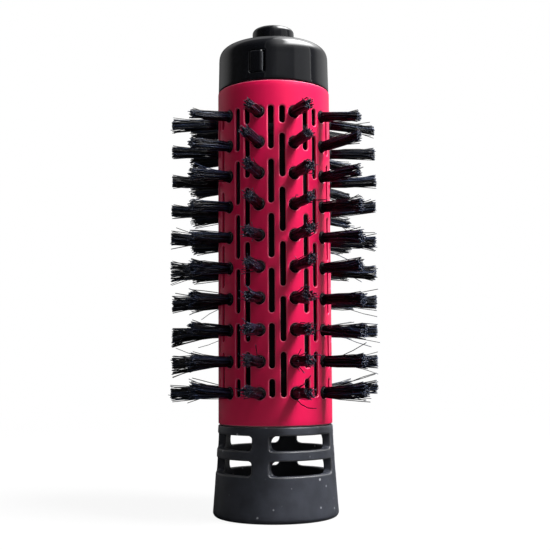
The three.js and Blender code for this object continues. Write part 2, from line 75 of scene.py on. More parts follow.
# ------------------------------------------------------------------ shader maths
class Signal:
    """A value in a shader: a socket that takes part in Python's arithmetic."""

    def __init__(self, tree: "ShaderTree", socket: bpy.types.NodeSocket) -> None:
        """Wraps an output socket of a shader tree."""
        self.tree = tree
        self.socket = socket

    def __add__(self, other: Any) -> "Signal":
        """self + other."""
        return self.tree.math("ADD", self, other)

    def __radd__(self, other: Any) -> "Signal":
        """other + self."""
        return self.tree.math("ADD", other, self)

    def __sub__(self, other: Any) -> "Signal":
        """self - other."""
        return self.tree.math("SUBTRACT", self, other)

    def __rsub__(self, other: Any) -> "Signal":
        """other - self."""
        return self.tree.math("SUBTRACT", other, self)

    def __mul__(self, other: Any) -> "Signal":
        """self * other."""
        return self.tree.math("MULTIPLY", self, other)

    def __rmul__(self, other: Any) -> "Signal":
        """other * self."""
        return self.tree.math("MULTIPLY", other, self)

    def step(self, low: float, high: float) -> "Signal":
        """Rises smoothly from 0 at low to 1 at high.

        Args:
            low: where the value is still 0.
            high: where the value has reached 1.

        Returns:
            The smooth step, and its reverse where high is below low.
        """
        if high < low:
            return 1.0 - self.step(high, low)
        inputs = {"Value": self, "From Min": low, "From Max": high}
        return self.tree.node("ShaderNodeMapRange", {"interpolation_type": "SMOOTHSTEP"}, inputs).out(0)

    def band(self, start: float, full: float, fade: float, end: float) -> "Signal":
        """Rises smoothly from 0 to 1 between start and full, and falls again between fade and end."""
        return self.step(start, full) * self.step(end, fade)

    def above(self, edge: float) -> "Signal":
        """1 where the value is over an edge, and 0 elsewhere."""
        return self.tree.math("GREATER_THAN", self, edge)


class Made:
    """A node that has just been made, with short ways to its sockets."""

    def __init__(self, tree: "ShaderTree", node: bpy.types.Node) -> None:
        """Wraps a node of a shader tree."""
        self.tree = tree
        self.node = node

    def out(self, key: int | str) -> Signal:
        """An output by its index or name, as a signal."""
        return Signal(self.tree, self.node.outputs[key])

    def feed(self, inputs: dict[int | str, Any]) -> None:
        """Sets or links some of the node's inputs.

        Args:
            inputs: a number, colour or signal for each socket that isn't left as it is.
        """
        for key, value in inputs.items():
            if isinstance(value, Signal):
                self.tree.tree.links.new(value.socket, self.node.inputs[key])
            else:
                self.node.inputs[key].default_value = value


class ShaderTree:
    """A material's or the world's nodes."""

    def __init__(self, owner: bpy.types.Material | bpy.types.World) -> None:
        """Clears the owner's nodes and keeps its tree.

        Args:
            owner: the material or world that gets the nodes.
        """
        owner.use_nodes = True
        self.tree = owner.node_tree
        self.tree.nodes.clear()

    def node(self, kind: str, settings: dict[str, Any] | None = None,
             inputs: dict[int | str, Any] | None = None) -> Made:
        """Makes a node.

        Args:
            kind: the node's type.
            settings: its own properties, set first.
            inputs: a number, colour or signal for each socket that isn't left as it is.

        Returns:
            The node.
        """
        made = Made(self, self.tree.nodes.new(kind))
        for key, value in (settings or {}).items():
            setattr(made.node, key, value)
        made.feed(inputs or {})
        return made

    def math(self, operation: str, first: Any, second: Any = 0.0) -> Signal:
        """The result of a Math node on one or two signals or numbers."""
        return self.node("ShaderNodeMath", {"operation": operation}, {0: first, 1: second}).out(0)

    def blend(self, factor: Any, first: Any, second: Any) -> Signal:
        """Mixes two colours by a factor."""
        settings = {"data_type": "RGBA", "blend_type": "MIX"}
        return self.node("ShaderNodeMix", settings, {0: factor, 6: first, 7: second}).out(2)

    def either(self, factor: Signal, first: Made, second: Made) -> Made:
        """Mixes two shaders: the first where the factor is 0, the second where it is 1."""
        return self.node("ShaderNodeMixShader", None, {0: factor, 1: first.out(0), 2: second.out(0)})

    def place(self) -> Signal:
        """The surface point in the object's own coordinates, in metres."""
        return self.node("ShaderNodeTexCoord").out("Object")

    def noise(self, scale: float, detail: float = 2.0, vector: Signal | None = None) -> Signal:
        """A cloudy value from 0 to 1.

        Args:
            scale: its number of clouds to a metre.
            detail: how many finer clouds are laid over it.
            vector: where it is read, or the object's own coordinates.

        Returns:
            The value.
        """
        where = vector or self.place()
        return self.node("ShaderNodeTexNoise", None,
                         {"Vector": where, "Scale": scale, "Detail": detail}).out(0)

    def drawn_noise(self, scales: tuple[float, float, float], detail: float) -> Signal:
        """A cloudy value with its own number of clouds to a metre along each of X, Y and Z."""
        drawn = self.node("ShaderNodeMapping", None, {"Vector": self.place(), "Scale": scales})
        return self.noise(1.0, detail, vector=drawn.out(0))

    def attribute(self, name: str) -> Signal:
        """A float attribute of the mesh."""
        return self.node("ShaderNodeAttribute", {"attribute_name": name}).out("Fac")

    def bump(self, height: Signal, depth: float) -> Signal:
        """A normal that is tilted by a height from 0 to 1, times a depth in metres."""
        inputs = {"Height": height, "Distance": depth, "Strength": 1.0}
        return self.node("ShaderNodeBump", None, inputs).out(0)


def grey(level: float) -> Colour:
    """A neutral colour of a linear level."""
    return (level, level, level, 1.0)


def darker(colour: Colour, share: float) -> Colour:
    """A colour that keeps a share of its light."""
    return (*(share * part for part in colour[:3]), 1.0)


def linear(red: int, green: int, blue: int) -> Colour:
    """The linear colour of a screen colour: v / 12.92 near black, and ((v + 0.055) / 1.055)^2.4 over it.

    Args:
        red: its red from 0 to 255.
        green: its green.
        blue: its blue.

    Returns:
        The colour.
    """
    values = np.array([red, green, blue]) / 255.0
    curve = np.where(values <= 0.04045, values / 12.92, ((values + 0.055) / 1.055) ** 2.4)
    return (*curve.tolist(), 1.0)


# ------------------------------------------------------------------ finishes
@dataclass(frozen=True)
class Finish:
    """A finish of one material slot.

    The base is a plain plastic or metal with a fine grain and a faint cloudy change of gloss; each kind
    adds to it. Many read the mesh's mark, which Shell describes.
    """

    name: str
    slot: str
    colour: Colour
    roughness: float
    metallic: float = 0.0
    specular: float = 0.5
    gloss_change: float = 0.04
    gloss_scale: float = 120.0
    grain_scale: float = 2500.0
    grain_depth: float = 0.00001

    def material(self) -> bpy.types.Material:
        """Makes the material once and hands it out after that."""
        found = bpy.data.materials.get(self.name)
        if found:
            return found
        made = bpy.data.materials.new(self.name)
        tree = ShaderTree(made)
        gloss = tree.noise(self.gloss_scale) * (2 * self.gloss_change) + (self.roughness - self.gloss_change)
        shader = tree.node("ShaderNodeBsdfPrincipled", None, {
            "Base Color": self.colour, "Metallic": self.metallic,
            "Specular IOR Level": self.specular, "Roughness": gloss})
        shader.feed(self.detail(tree))
        tree.node("ShaderNodeOutputMaterial", None, {"Surface": shader.out(0)})
        return made

    def detail(self, tree: ShaderTree) -> dict[str, Signal]:
        """What is particular to this finish: a signal for each socket of the shader that it feeds."""
        return {"Normal": tree.bump(tree.noise(self.grain_scale), self.grain_depth)}


@dataclass(frozen=True)
class BarrelCoating(Finish):
    """Satin magenta ceramic coating: a soft orange peel, and paler on rolled edges."""

    cloud_scale: float = 90.0
    cloud_share: float = 0.86
    edge_colour: Colour = (0.8, 0.3, 0.42, 1.0)
    edge_marks: Pair = (0.3, 1.0)
    edge_share: float = 0.5
    peel_scale: float = 1300.0
    fine_peel_scale: float = 5200.0
    fine_peel_share: float = 0.3
    peel_depth: float = 0.000012

    def detail(self, tree: ShaderTree) -> dict[str, Signal]:
        """Colour = coating, cloudy by a few per cent, turned towards the edge colour by the edge mark.

        The orange peel is a coarse noise with a little of a fine one.

        Args:
            tree: the material's nodes.

        Returns:
            The base colour and the normal.
        """
        cloud = tree.noise(self.cloud_scale, detail=3.0)
        coating = tree.blend(cloud, darker(self.colour, self.cloud_share), self.colour)
        edge = tree.attribute("mark").step(*self.edge_marks) * self.edge_share
        peel = tree.noise(self.peel_scale) * (1 - self.fine_peel_share) \
            + tree.noise(self.fine_peel_scale, detail=1.0) * self.fine_peel_share
        return {"Base Color": tree.blend(edge, coating, self.edge_colour),
                "Normal": tree.bump(peel, self.peel_depth)}


@dataclass(frozen=True)
class CollarPlastic(Finish):
    """Matte charcoal plastic: fine eroded grain, edges rubbed smooth, a few specks of dust."""

    grain_scale: float = 4200.0
    grain_depth: float = 0.00004
    cloud_scale: float = 260.0
    cloud_border: Pair = (0.3, 0.7)
    cloud_share: float = 0.7
    rubbed_colour: Colour = grey(0.075)
    rubbed_marks: Pair = (0.2, 1.0)
    rubbed_share: float = 0.5
    speck_colour: Colour = (0.42, 0.43, 0.46, 1.0)
    cell_scale: float = 420.0
    clean_cells: float = 0.66
    speck_border: Pair = (0.24, 0.16)
    ragged_scale: float = 3000.0
    ragged_reach: float = 0.1
    faintest: float = 0.1

    def specks(self, tree: ShaderTree, where: Signal) -> Signal:
        """Specks = ragged middles of a cell pattern's cells, but for the clean ones, some faint.

        Args:
            tree: the material's nodes.
            where: the surface point.

        Returns:
            How much of a speck shows, from 0 to 1.
        """
        cells = tree.node("ShaderNodeTexVoronoi", None, {
            "Vector": where, "Scale": self.cell_scale, "Randomness": 1.0})
        chance = tree.node("ShaderNodeSeparateColor", None, {0: cells.out("Color")})
        ragged = cells.out("Distance") + tree.noise(self.ragged_scale, vector=where) * self.ragged_reach
        shown = chance.out(0).above(self.clean_cells) * ragged.step(*self.speck_border)
        return shown * (chance.out(1) * (1 - self.faintest) + self.faintest)

    def detail(self, tree: ShaderTree) -> dict[str, Signal]:
        """Colour = cloudy charcoal, turned towards the rubbed colour by the edge mark, under the specks.

        Args:
            tree: the material's nodes.

        Returns:
            The base colour and the normal.
        """
        where = tree.place()
        cloud = tree.noise(self.cloud_scale, detail=5.0, vector=where).step(*self.cloud_border)
        plain = tree.blend(cloud, darker(self.colour, self.cloud_share), self.colour)
        edge = tree.attribute("mark").step(*self.rubbed_marks) * self.rubbed_share
        rubbed = tree.blend(edge, plain, self.rubbed_colour)
        grain = tree.noise(self.grain_scale, detail=3.0, vector=where)
        return {"Base Color": tree.blend(self.specks(tree, where), rubbed, self.speck_colour),
                "Normal": tree.bump(grain, self.grain_depth)}


@dataclass(frozen=True)
class CapGloss(Finish):
    """Polished black plastic: wiping marks with a dusty film, a painted highlight in grey on one edge, a
    moulded waviness.
    """

    smear_scales: tuple[float, float, float] = (260.0, 260.0, 45.0)
    smear_border: Pair = (0.5, 0.75)
    streak_roughness: float = 0.07
    film_colour: Colour = (0.012, 0.0135, 0.017, 1.0)
    film_scale: float = 900.0
    film_border: Pair = (0.4, 0.7)
    # The grey of a painted highlight on a marked edge.
    painted_highlight_colour: Colour = (0.1, 0.105, 0.115, 1.0)
    wave_scale: float = 110.0
    wave_depth: float = 0.00004

    def detail(self, tree: ShaderTree) -> dict[str, Signal]:
        """Roughness and film rise along thin streaks, and the painted highlight mark turns an edge grey.

        Args:
            tree: the material's nodes.

        Returns:
            The base colour, the roughness and the normal.
        """
        streak = tree.drawn_noise(self.smear_scales, detail=4.0).step(*self.smear_border)
        film = streak * tree.noise(self.film_scale, detail=3.0).step(*self.film_border)
        polished = tree.blend(film, self.colour, self.film_colour)
        # Painted highlight: the mark turns an edge grey.
        edge = tree.attribute("mark").step(1.0, PAINTED_HIGHLIGHT_MARK)
        return {"Base Color": tree.blend(edge, polished, self.painted_highlight_colour),
                "Roughness": streak * self.streak_roughness + self.roughness,
                "Normal": tree.bump(tree.noise(self.wave_scale, detail=1.0), self.wave_depth)}


@dataclass(frozen=True)
class BristleNylon(Finish):
    """Black nylon: each strand has its own shade, cut ends get a painted glint in pale grey, and moulded
    parts are dull.
    """

    shade: Colour = (0.018, 0.028, 0.06, 1.0)
    shade_marks: Pair = (0.25, 0.5)
    # Painted glint: the pale grey of the cut ends.
    pale: Colour = (0.15, 0.14, 0.16, 1.0)
    cut_glint_marks: Pair = (0.72, 1.0)
    dullness: float = 0.5
    moulded_marks: Pair = (-0.1, -0.9)

    def detail(self, tree: ShaderTree) -> dict[str, Signal]:
        """Marks: below 0 a moulded part, up to one half a strand's own shade, over it a cut end with a
        painted glint.

        Args:
            tree: the material's nodes.

        Returns:
            The base colour and the roughness.
        """
        mark = tree.attribute("mark")
        strand = tree.blend(mark.step(*self.shade_marks), self.colour, self.shade)
        # Painted glint on the cut ends.
        return {"Base Color": tree.blend(mark.step(*self.cut_glint_marks), strand, self.pale),
                "Roughness": mark.step(*self.moulded_marks) * self.dullness + self.roughness}


@dataclass(frozen=True)
class MetalFinish(Finish):
    """Bare metal with fine turning marks round the axis."""

    turning_scales: tuple[float, float, float] = (300.0, 300.0, 6000.0)
    turning_depth: float = 0.000008

    def detail(self, tree: ShaderTree) -> dict[str, Signal]:
        """The normal of the turning marks, which are a noise drawn out across the axis."""
        return {"Normal": tree.bump(tree.drawn_noise(self.turning_scales, detail=2.0), self.turning_depth)}


class Finishes(Enum):
    """The finishes of the head, one to a material slot."""

    BARREL = BarrelCoating("magenta_coating", "barrel_coating", linear(238, 22, 86), 0.42, specular=0.45)
    COLLAR = CollarPlastic("charcoal_plastic", "collar_plastic", (0.043, 0.0465, 0.059, 1.0), 0.36,
                           specular=0.4)
    CAP = CapGloss("polished_black", "cap_plastic", (0.004, 0.0045, 0.0065, 1.0), 0.07)
    BRISTLE = BristleNylon("black_nylon", "bristle_nylon", (0.002, 0.002, 0.0034, 1.0), 0.36,
                           specular=0.4)
    FRAME = Finish("filled_black_plastic", "frame_plastic", (0.007, 0.007, 0.008, 1.0), 0.6, specular=0.12)
    BEARING = Finish("natural_plastic", "bearing_plastic", (0.62, 0.6, 0.54, 1.0), 0.4)
    STEEL = MetalFinish("turned_steel", "steel", (0.6, 0.61, 0.62, 1.0), 0.32, 1.0)
    BRASS = MetalFinish("machined_brass", "brass", (0.62, 0.42, 0.13, 1.0), 0.3, 1.0)


# ------------------------------------------------------------------ surfaces
def around(azimuth: Any, radius: Any, height: Any) -> np.ndarray:
    """Points about the axis: x = r sin a, y = -r cos a, z = h, for arrays of any one shape."""
    turn, distance, up = np.broadcast_arrays(azimuth, radius, height)
    return np.stack([distance * np.sin(turn), -distance * np.cos(turn), up], axis=-1).astype(float)


def rolled(radius: float, steps: int) -> tuple[np.ndarray, np.ndarray]:
    """A quarter round edge, p from 0 to 90 degrees: its offsets r (1 - sin p), and depths r (1 - cos p)."""
    angle = np.radians(np.linspace(0.0, 90.0, steps + 1))
    return radius * (1 - np.sin(angle)), radius * (1 - np.cos(angle))


def round_edge(radius: float, level: float, roll: float, steps: int, up: bool = True,
               outer: bool = True) -> list[Pair]:
    """Profile of a quarter round edge, from a wall to its end face.

    With the offsets and depths of rolled(), a point is (radius - depth, level - offset); at a lower end
    the offset is added, and at an inner edge the depth.

    Args:
        radius: the wall's radius.
        level: the height of the end face.
        roll: the edge's own radius.
        steps: its flats.
        up: whether the face is the wall's upper end.
        outer: whether the wall's outer edge is rounded, or else its inner one.

    Returns:
        The points as (radius, z).
    """
    way = 1.0 if up else -1.0
    side = 1.0 if outer else -1.0
    offsets, depths = rolled(roll, steps)
    return [(radius - side * depth, level - way * offset) for offset, depth in zip(offsets, depths)]


@dataclass
class Shell:
    """Points, faces padded with -1, and a mark for each point, which its finish reads.

    A mark is 0 on plain surfaces and up to 1 on rolled edges. On a strand it is up to 0.5 for its own
    random tone and over that for a cut end, which gets a painted glint. MOULDED_MARK stands for dull
    nylon, and PAINTED_HIGHLIGHT_MARK for an edge with a painted highlight in grey.
    """

    points: np.ndarray
    faces: np.ndarray
    marks: np.ndarray

    @staticmethod
    def of(points: np.ndarray, faces: np.ndarray, marks: Any = 0.0) -> "Shell":
        """A shell of points in any array that ends in 3, and of one mark for all of them or an array."""
        flat = np.asarray(points, float).reshape(-1, 3)
        return Shell(flat, np.asarray(faces, int), np.broadcast_to(marks, len(flat)).astype(float))

    @staticmethod
    def grid(points: np.ndarray, closed: bool = False, marks: Any = 0.0) -> "Shell":
        """Quads between the rows and columns of a grid of points.

        Args:
            points: an array of rows, columns and 3.
            closed: whether the last column meets the first.
            marks: one mark for all points, or an array that fits the grid.

        Returns:
            The surface.
        """
        rows, columns = points.shape[:2]
        row = np.arange(rows - 1)[:, None] * columns
        column = np.arange(columns if closed else columns - 1)[None, :]
        following = (column + 1) % columns
        corners = [row + column, row + following, row + columns + following, row + columns + column]
        faces = np.stack(np.broadcast_arrays(*corners), axis=-1).reshape(-1, 4)
        return Shell.of(points, faces, np.broadcast_to(marks, (rows, columns)).ravel())

    @staticmethod
    def joined(shells: Sequence["Shell"]) -> "Shell":
        """Several shells as one, with their points kept apart.

        Args:
            shells: the shells, whose faces may have different numbers of corners.

        Returns:
            One shell.
        """
        width = max(shell.faces.shape[1] for shell in shells)
        starts = np.cumsum([0] + [len(shell.points) for shell in shells[:-1]])
        faces = []
        for shell, start in zip(shells, starts):
            moved = np.where(shell.faces < 0, -1, shell.faces + start)
            faces.append(np.pad(moved, ((0, 0), (0, width - moved.shape[1])), constant_values=-1))
        return Shell(np.concatenate([shell.points for shell in shells]), np.concatenate(faces),
                     np.concatenate([shell.marks for shell in shells]))

    def turned(self, azimuths: Sequence[float]) -> "Shell":
        """Copies of the shell, each turned about the axis by an azimuth in degrees.

        Args:
            azimuths: one turn for each copy.

        Returns:
            The copies as one shell.
        """
        angle = np.radians(np.asarray(azimuths, float))[:, None]
        x, y, z = self.points.T
        turned_x = x * np.cos(angle) - y * np.sin(angle)
        turned_y = x * np.sin(angle) + y * np.cos(angle)
        points = np.stack([turned_x, turned_y, np.broadcast_to(z, turned_x.shape)], axis=-1)
        starts = np.arange(len(angle))[:, None, None] * len(self.points)
        faces = np.where(self.faces[None] < 0, -1, self.faces[None] + starts)
        return Shell.of(points, faces.reshape(-1, self.faces.shape[1]),
                        np.tile(self.marks, len(angle)))


def lathe(profile: Profile, azimuths: np.ndarray, closed: bool = True, marks: Any = 0.0) -> Shell:
    """Turns a line of (radius, z) points about the axis, a row of the grid to a point.

    Args:
        profile: the line.
        azimuths: the columns' azimuths, in radians.
        closed: whether the last column meets the first.
        marks: one mark for all points, or an array that fits the grid.

    Returns:
        The surface.
    """
    line = np.asarray(profile, float)
    points = around(azimuths[None, :], line[:, 0:1], line[:, 1:2])
    return Shell.grid(points, closed, marks)


def full_turn(columns: int, start: float = 0.0) -> np.ndarray:
    """Evenly spread azimuths of a whole turn, in radians, from a start in degrees."""
    return math.radians(start) + 2 * np.pi * np.arange(columns) / columns


def rounded_rectangle(half_width: float, half_height: float, corner: float, steps: int,
                      reach: float) -> np.ndarray:
    """An anticlockwise rounded rectangle about the origin.

    Each corner is an arc, centre + c (cos a, sin a), and each straight side is cut in equal steps.

    Args:
        half_width: half its size along.
        half_height: half its size up.
        corner: the corners' radius.
        steps: flats to a corner.
        reach: the longest step on a straight side.

    Returns:
        Its points, without a double one.
    """
    angles = np.radians(np.linspace(0.0, 90.0, steps + 1))[None, :] + np.pi / 2 * np.arange(4)[:, None]
    sides = np.array([[1, 1], [-1, 1], [-1, -1], [1, -1]])
    centres = sides * [half_width - corner, half_height - corner]
    arcs = centres[:, None, :] + corner * np.stack([np.cos(angles), np.sin(angles)], axis=-1)
    lengths = 2 * np.array([half_width - corner, half_height - corner] * 2)
    pieces = []
    for i, length in enumerate(lengths):
        if length <= TINY:
            pieces.append(arcs[i][:-1])
            continue
        share = np.linspace(0.0, 1.0, max(1, math.ceil(length / reach)) + 1)[1:-1, None]
        pieces.append(arcs[i])
        pieces.append(arcs[i][-1] * (1 - share) + arcs[(i + 1) % 4][0] * share)
    return np.concatenate(pieces)


@dataclass(frozen=True)
class Window:
    """A rounded opening in a wall, by its middle, its half sizes and its corners' radius.

    On the wall's inner surface it may have rounder corners, of the radius inner_corner, and be shorter
    by inner_shrink at both ends.
    """

    along: float
    up: float
    half_width: float
    half_height: float
    corner: float
    inner_corner: float = 0.0
    inner_shrink: float = 0.0

    def outline(self, offset: float, steps: int, reach: float, inner: bool = False) -> np.ndarray:
        """Its outline moved outwards by an offset, with as many points for any offset.

        A point of the plain outline is carried to k + (c + offset) u, where k is the nearest point of
        the rectangle that is smaller by the corners' radius c, and u points from k to the outline.

        Args:
            offset: how far outwards it is moved.
            steps: flats to a corner.
            reach: the longest step on a straight side.
            inner: whether it is the outline on the wall's inner surface.

        Returns:
            The outline's points.
        """
        shape = rounded_rectangle(self.half_width, self.half_height, self.corner, steps, reach)
        radius = self.inner_corner if inner else self.corner
        half_width = self.half_width - (self.inner_shrink if inner else 0.0)
        core = np.array([half_width - radius, self.half_height - radius])
        kept = np.clip(shape, -core, core)
        away = shape - kept
        away /= np.linalg.norm(away, axis=1, keepdims=True)
        return kept + (radius + offset) * away + [self.along, self.up]

    def distance(self, points: np.ndarray) -> np.ndarray:
        """How far points lie outside it: |max(q, 0)| + min(max(q), 0) - c, a rounded box's distance.

        Here q is a point's distance from the middle, along and up, less the half sizes without the
        corner c.

        Args:
            points: the flat points.

        Returns:
            One distance for each, below zero inside the window.
        """
        away = np.abs(points - [self.along, self.up]) \
            - [self.half_width - self.corner, self.half_height - self.corner]
        outside = np.linalg.norm(np.maximum(away, 0.0), axis=1)
        return outside + np.minimum(away.max(axis=1), 0.0) - self.corner


@dataclass
class PerforatedWall:
    """A round wall with windows whose edges are rolled, made of equal sectors.

    The wall is developed flat: `along` is measured round it at the reference radius, and up is z. The
    flat sheet is triangulated round its windows once, and laid on the outer and the inner surface. A
    narrow support round each rolled edge keeps the shading of the wall flat.
    """

    sectors: int
    start: float
    low: float
    high: float
    outer: Callable[[np.ndarray], np.ndarray]
    inner: Callable[[np.ndarray], np.ndarray]
    reference: float
    windows: Sequence[Window]
    roll: float
    top: Profile
    bottom: Profile
    roll_steps: int = 3
    support: float = 0.2
    support_mark: float = 0.45
    clear_share: float = 0.3
    slack: float = 0.001
    step_along: float = 0.8
    step_up: float = 1.6
    corner_steps: int = 5
    reach: float = 2.0
    end_mark: float = 0.0

    @property
    def width(self) -> float:
        """One sector's length along the wall."""
        return self.reference * 2 * math.pi / self.sectors

    @property
    def columns(self) -> int:
        """Columns of the sheet in one sector."""
        return math.ceil(self.width / self.step_along)

    def sheet(self) -> tuple[np.ndarray, np.ndarray]:
        """Triangulates one sector between its border and its windows' outlines.

        The points are a grid's and the outlines', moved outwards by the roll and the support. Inside the
        sheet a grid point nearer to an outline than a share of a step is left out.

        Returns:
            The flat points, and triangles without those that lie in a window.
        """
        rows = math.ceil((self.high - self.low) / self.step_up)
        along, up = np.meshgrid(np.linspace(0.0, self.width, self.columns + 1),
                                np.linspace(self.low, self.high, rows + 1))
        grid = np.stack([along.ravel(), up.ravel()], axis=-1)
        margin = self.roll + self.support
        clear = np.min([window.distance(grid) for window in self.windows], axis=0)
        border = (along.ravel() < TINY) | (along.ravel() > self.width - TINY) \
            | (up.ravel() < self.low + TINY) | (up.ravel() > self.high - TINY)
        kept = grid[(clear > margin + self.clear_share * self.step_along) | border]
        parts = [kept]
        edges = []
        count = len(kept)
        for window in self.windows:
            outline = window.outline(margin, self.corner_steps, self.reach)
            ring = np.arange(len(outline))
            edges.append(np.stack([ring, (ring + 1) % len(outline)], axis=1) + count)
            parts.append(outline)
            count += len(outline)
        points = np.concatenate(parts)
        vectors = list(map(Vector, points.tolist()))
        result = delaunay_2d_cdt(vectors, np.concatenate(edges).tolist(), [], 0, TINY, True)
        flat = np.array([tuple(vertex) for vertex in result[0]])
        faces = np.array(result[2])
        middles = flat[faces].mean(axis=1)
        inside = np.min([window.distance(middles) for window in self.windows], axis=0) < margin - self.slack
        return flat, faces[~inside]

    def laid(self, flat: np.ndarray, radius: np.ndarray) -> np.ndarray:
        """Bends flat points round the axis at a radius: azimuth = start + along / reference."""
        azimuth = math.radians(self.start) + flat[..., 0] / self.reference
        return around(azimuth, radius, flat[..., 1])

    def rims(self) -> list[Shell]:
        """The rolled edge and the wall of each window, from the outer sheet to the inner one.

        Each ring is the outline moved outwards by an offset, at the surface's radius less a depth on the
        outer side and plus it on the inner one; the first ring is the sheet's own edge. The marks rise
        over the outer edge's roll, and are 0 on the inner one.

        Returns:
            A shell for each window.
        """
        offsets, depths = rolled(self.roll, self.roll_steps)
        offsets = np.concatenate([[self.roll + self.support], offsets])
        depths = np.concatenate([[0.0], depths])
        rising = [0.0, self.support_mark, *np.ones(self.roll_steps - 1)]
        marks = np.concatenate([rising, np.zeros(self.roll_steps + 3)])
        shells = []
        for window in self.windows:
            rings = [window.outline(offset, self.corner_steps, self.reach) for offset in offsets]
            outer = [self.laid(ring, self.outer(ring[:, 1]) - depth) for ring, depth in zip(rings, depths)]
            if window.inner_corner:
                rings[1:] = [window.outline(offset, self.corner_steps, self.reach, True)
                             for offset in offsets[1:]]
            inner = [self.laid(ring, self.inner(ring[:, 1]) + depth) for ring, depth in zip(rings, depths)]
            points = np.stack(outer + inner[::-1])
            shells.append(Shell.grid(points, True, marks[:, None]))
        return shells

    def shell(self) -> Shell:
        """The whole closed wall: the sheet and the rims in every sector, and a turned profile at each end."""
        flat, faces = self.sheet()
        outer = Shell.of(self.laid(flat, self.outer(flat[:, 1])), faces)
        inner = Shell.of(self.laid(flat, self.inner(flat[:, 1])), faces[:, ::-1])
        turns = 360.0 / self.sectors * np.arange(self.sectors)
        walls = Shell.joined([outer, inner, *self.rims()]).turned(turns)
        azimuths = full_turn(self.columns * self.sectors, self.start)
        ends = []
        for height, profile in ((self.high, self.top), (self.low, self.bottom)):
            at = np.array([height])
            line = [(float(self.outer(at)[0]), height), *profile, (float(self.inner(at)[0]), height)]
            marks = np.full(len(line), self.end_mark)
            marks[[0, -1]] = 0.0
            ends.append(lathe(line, azimuths, marks=marks[:, None]))
        return Shell.joined([walls, *ends])


def prism(section: np.ndarray, levels: Sequence[float], marks: float = 0.0) -> Shell:
    """Carries a closed section straight up, with a fan over each end.

    Args:
        section: (x, y) points of the section.
        levels: the heights of its rings.
        marks: the mark of all its points.

    Returns:
        The closed prism.
    """
    count = len(section)
    rings = np.array([np.column_stack([section, np.full(count, level)]) for level in levels])
    side = Shell.grid(rings, True)
    middle = section.mean(axis=0)
    hubs = np.array([[*middle, levels[0]], [*middle, levels[-1]]])
    ring = np.arange(count)
    following = (ring + 1) % count
    last = count * (len(levels) - 1)
    low = np.column_stack([following, ring, np.full(count, len(rings) * count)])
    high = np.column_stack([ring + last, following + last, np.full(count, len(rings) * count + 1)])
    faces = np.pad(np.concatenate([low, high]), ((0, 0), (0, 1)), constant_values=-1)
    return Shell.of(np.concatenate([side.points, hubs]), np.concatenate([side.faces, faces]), marks)


# ------------------------------------------------------------------ pieces
def make_piece(name: str, shell: Shell, finish: Finishes, body: Body,
               stands_for: Sequence[str]) -> bpy.types.Object:
    """Makes one object of a shell: welded, facing out, smooth and dressed.

    Args:
        name: the piece's name.
        shell: its surface in millimetres.
        finish: what it is made of.
        body: the body it rides on.
        stands_for: the CAD nodes that it replaces.

    Returns:
        The object.
    """
    mesh = bpy.data.meshes.new(name)
    filled = shell.faces >= 0
    splits = np.cumsum(filled.sum(axis=1))[:-1]
    faces = [part.tolist() for part in np.split(shell.faces[filled], splits)]
    mesh.from_pydata((shell.points * MM).tolist(), [], faces)
    attribute = mesh.attributes.new("mark", "FLOAT", "POINT")
    attribute.data.foreach_set("value", shell.marks.astype(np.float32))
    work = bmesh.new()
    work.from_mesh(mesh)
    bmesh.ops.remove_doubles(work, verts=work.verts, dist=WELD)
    bmesh.ops.dissolve_degenerate(work, edges=work.edges, dist=WELD / 10)
    bmesh.ops.recalc_face_normals(work, faces=work.faces)
    work.to_mesh(mesh)
    work.free()
    mesh.polygons.foreach_set("use_smooth", np.ones(len(mesh.polygons), bool))
    mesh.materials.append(finish.value.material())
    made = bpy.data.objects.new(name, mesh)
    bpy.context.scene.collection.objects.link(made)
    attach(made, body.value)
    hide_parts(*stands_for)
    LOG.info("%s: %d faces", name, len(mesh.polygons))
    return made


@dataclass(frozen=True)
class TuftHabit:
    """How the tufts of one row have been worn, ring by ring from the top.

    Each lean is how far a tuft's end is bent up along the barrel, each bend how far it is bent round the
    barrel, and each width is its end's breadth, in millimetres.
    """

    leans: Sequence[float]
    bends: Sequence[float]
    widths: Sequence[float]


FRONT_LEFT = TuftHabit((-1.2, 0.1, 0.2, 0.2, -0.5, -0.2, -0.1, -0.1, 0.3, 0.8),
                       (0.9, 0.0, 0.7, 1.4, 0.4, 0.7, 0.7, 0.2, 0.4, 0.3),
                       (2.7, 2.9, 3.0, 3.3, 3.2, 3.2, 3.3, 3.4, 3.3, 3.5))
FRONT_RIGHT = TuftHabit((-1.1, -0.3, -0.3, -0.1, 0.1, 0.8, -0.2, -0.3, 0.1, 0.3),
                        (-1.1, -1.2, -0.9, -0.8, -0.8, -0.7, -1.6, -1.2, -1.2, -1.3),
                        (2.5, 2.9, 3.0, 3.0, 3.0, 3.1, 4.6, 3.6, 3.4, 3.8))
SIDE_LEFT = TuftHabit((-1.4, -0.8, -0.7, -0.9, -0.8, -0.7, -0.5, 0.4, -0.1, 1.1),
                      (0.5, 0.4, 0.6, 0.5, 0.5, 0.3, 0.6, 0.5, 0.4, 0.5),
                      (2.2, 2.8, 3.6, 3.2, 4.4, 5.1, 4.3, 3.9, 4.9, 4.3))
SIDE_RIGHT = TuftHabit((-1.9, 1.2, 0.0, -0.4, -0.7, 0.1, -0.4, -0.6, -0.2, 0.8),
                       (-1.4, -2.4, -2.2, -1.4, -1.0, -1.4, -1.0, -0.5, -0.7, -0.2),
                       (2.4, 2.6, 3.8, 3.8, 4.2, 4.1, 4.0, 4.6, 3.7, 4.0))
FAR_LEFT = TuftHabit((-0.5, 0.5, 0.4, 0.3, 0.9, -0.1, -1.0, -1.2, -0.8, -0.2),
                     (0.2, -0.3, 0.4, 0.0, -0.2, 0.3, 0.1, -0.3, 0.2, 0.0),
                     (3.6, 3.6, 4.0, 3.9, 4.3, 5.8, 4.6, 5.2, 5.8, 5.2))
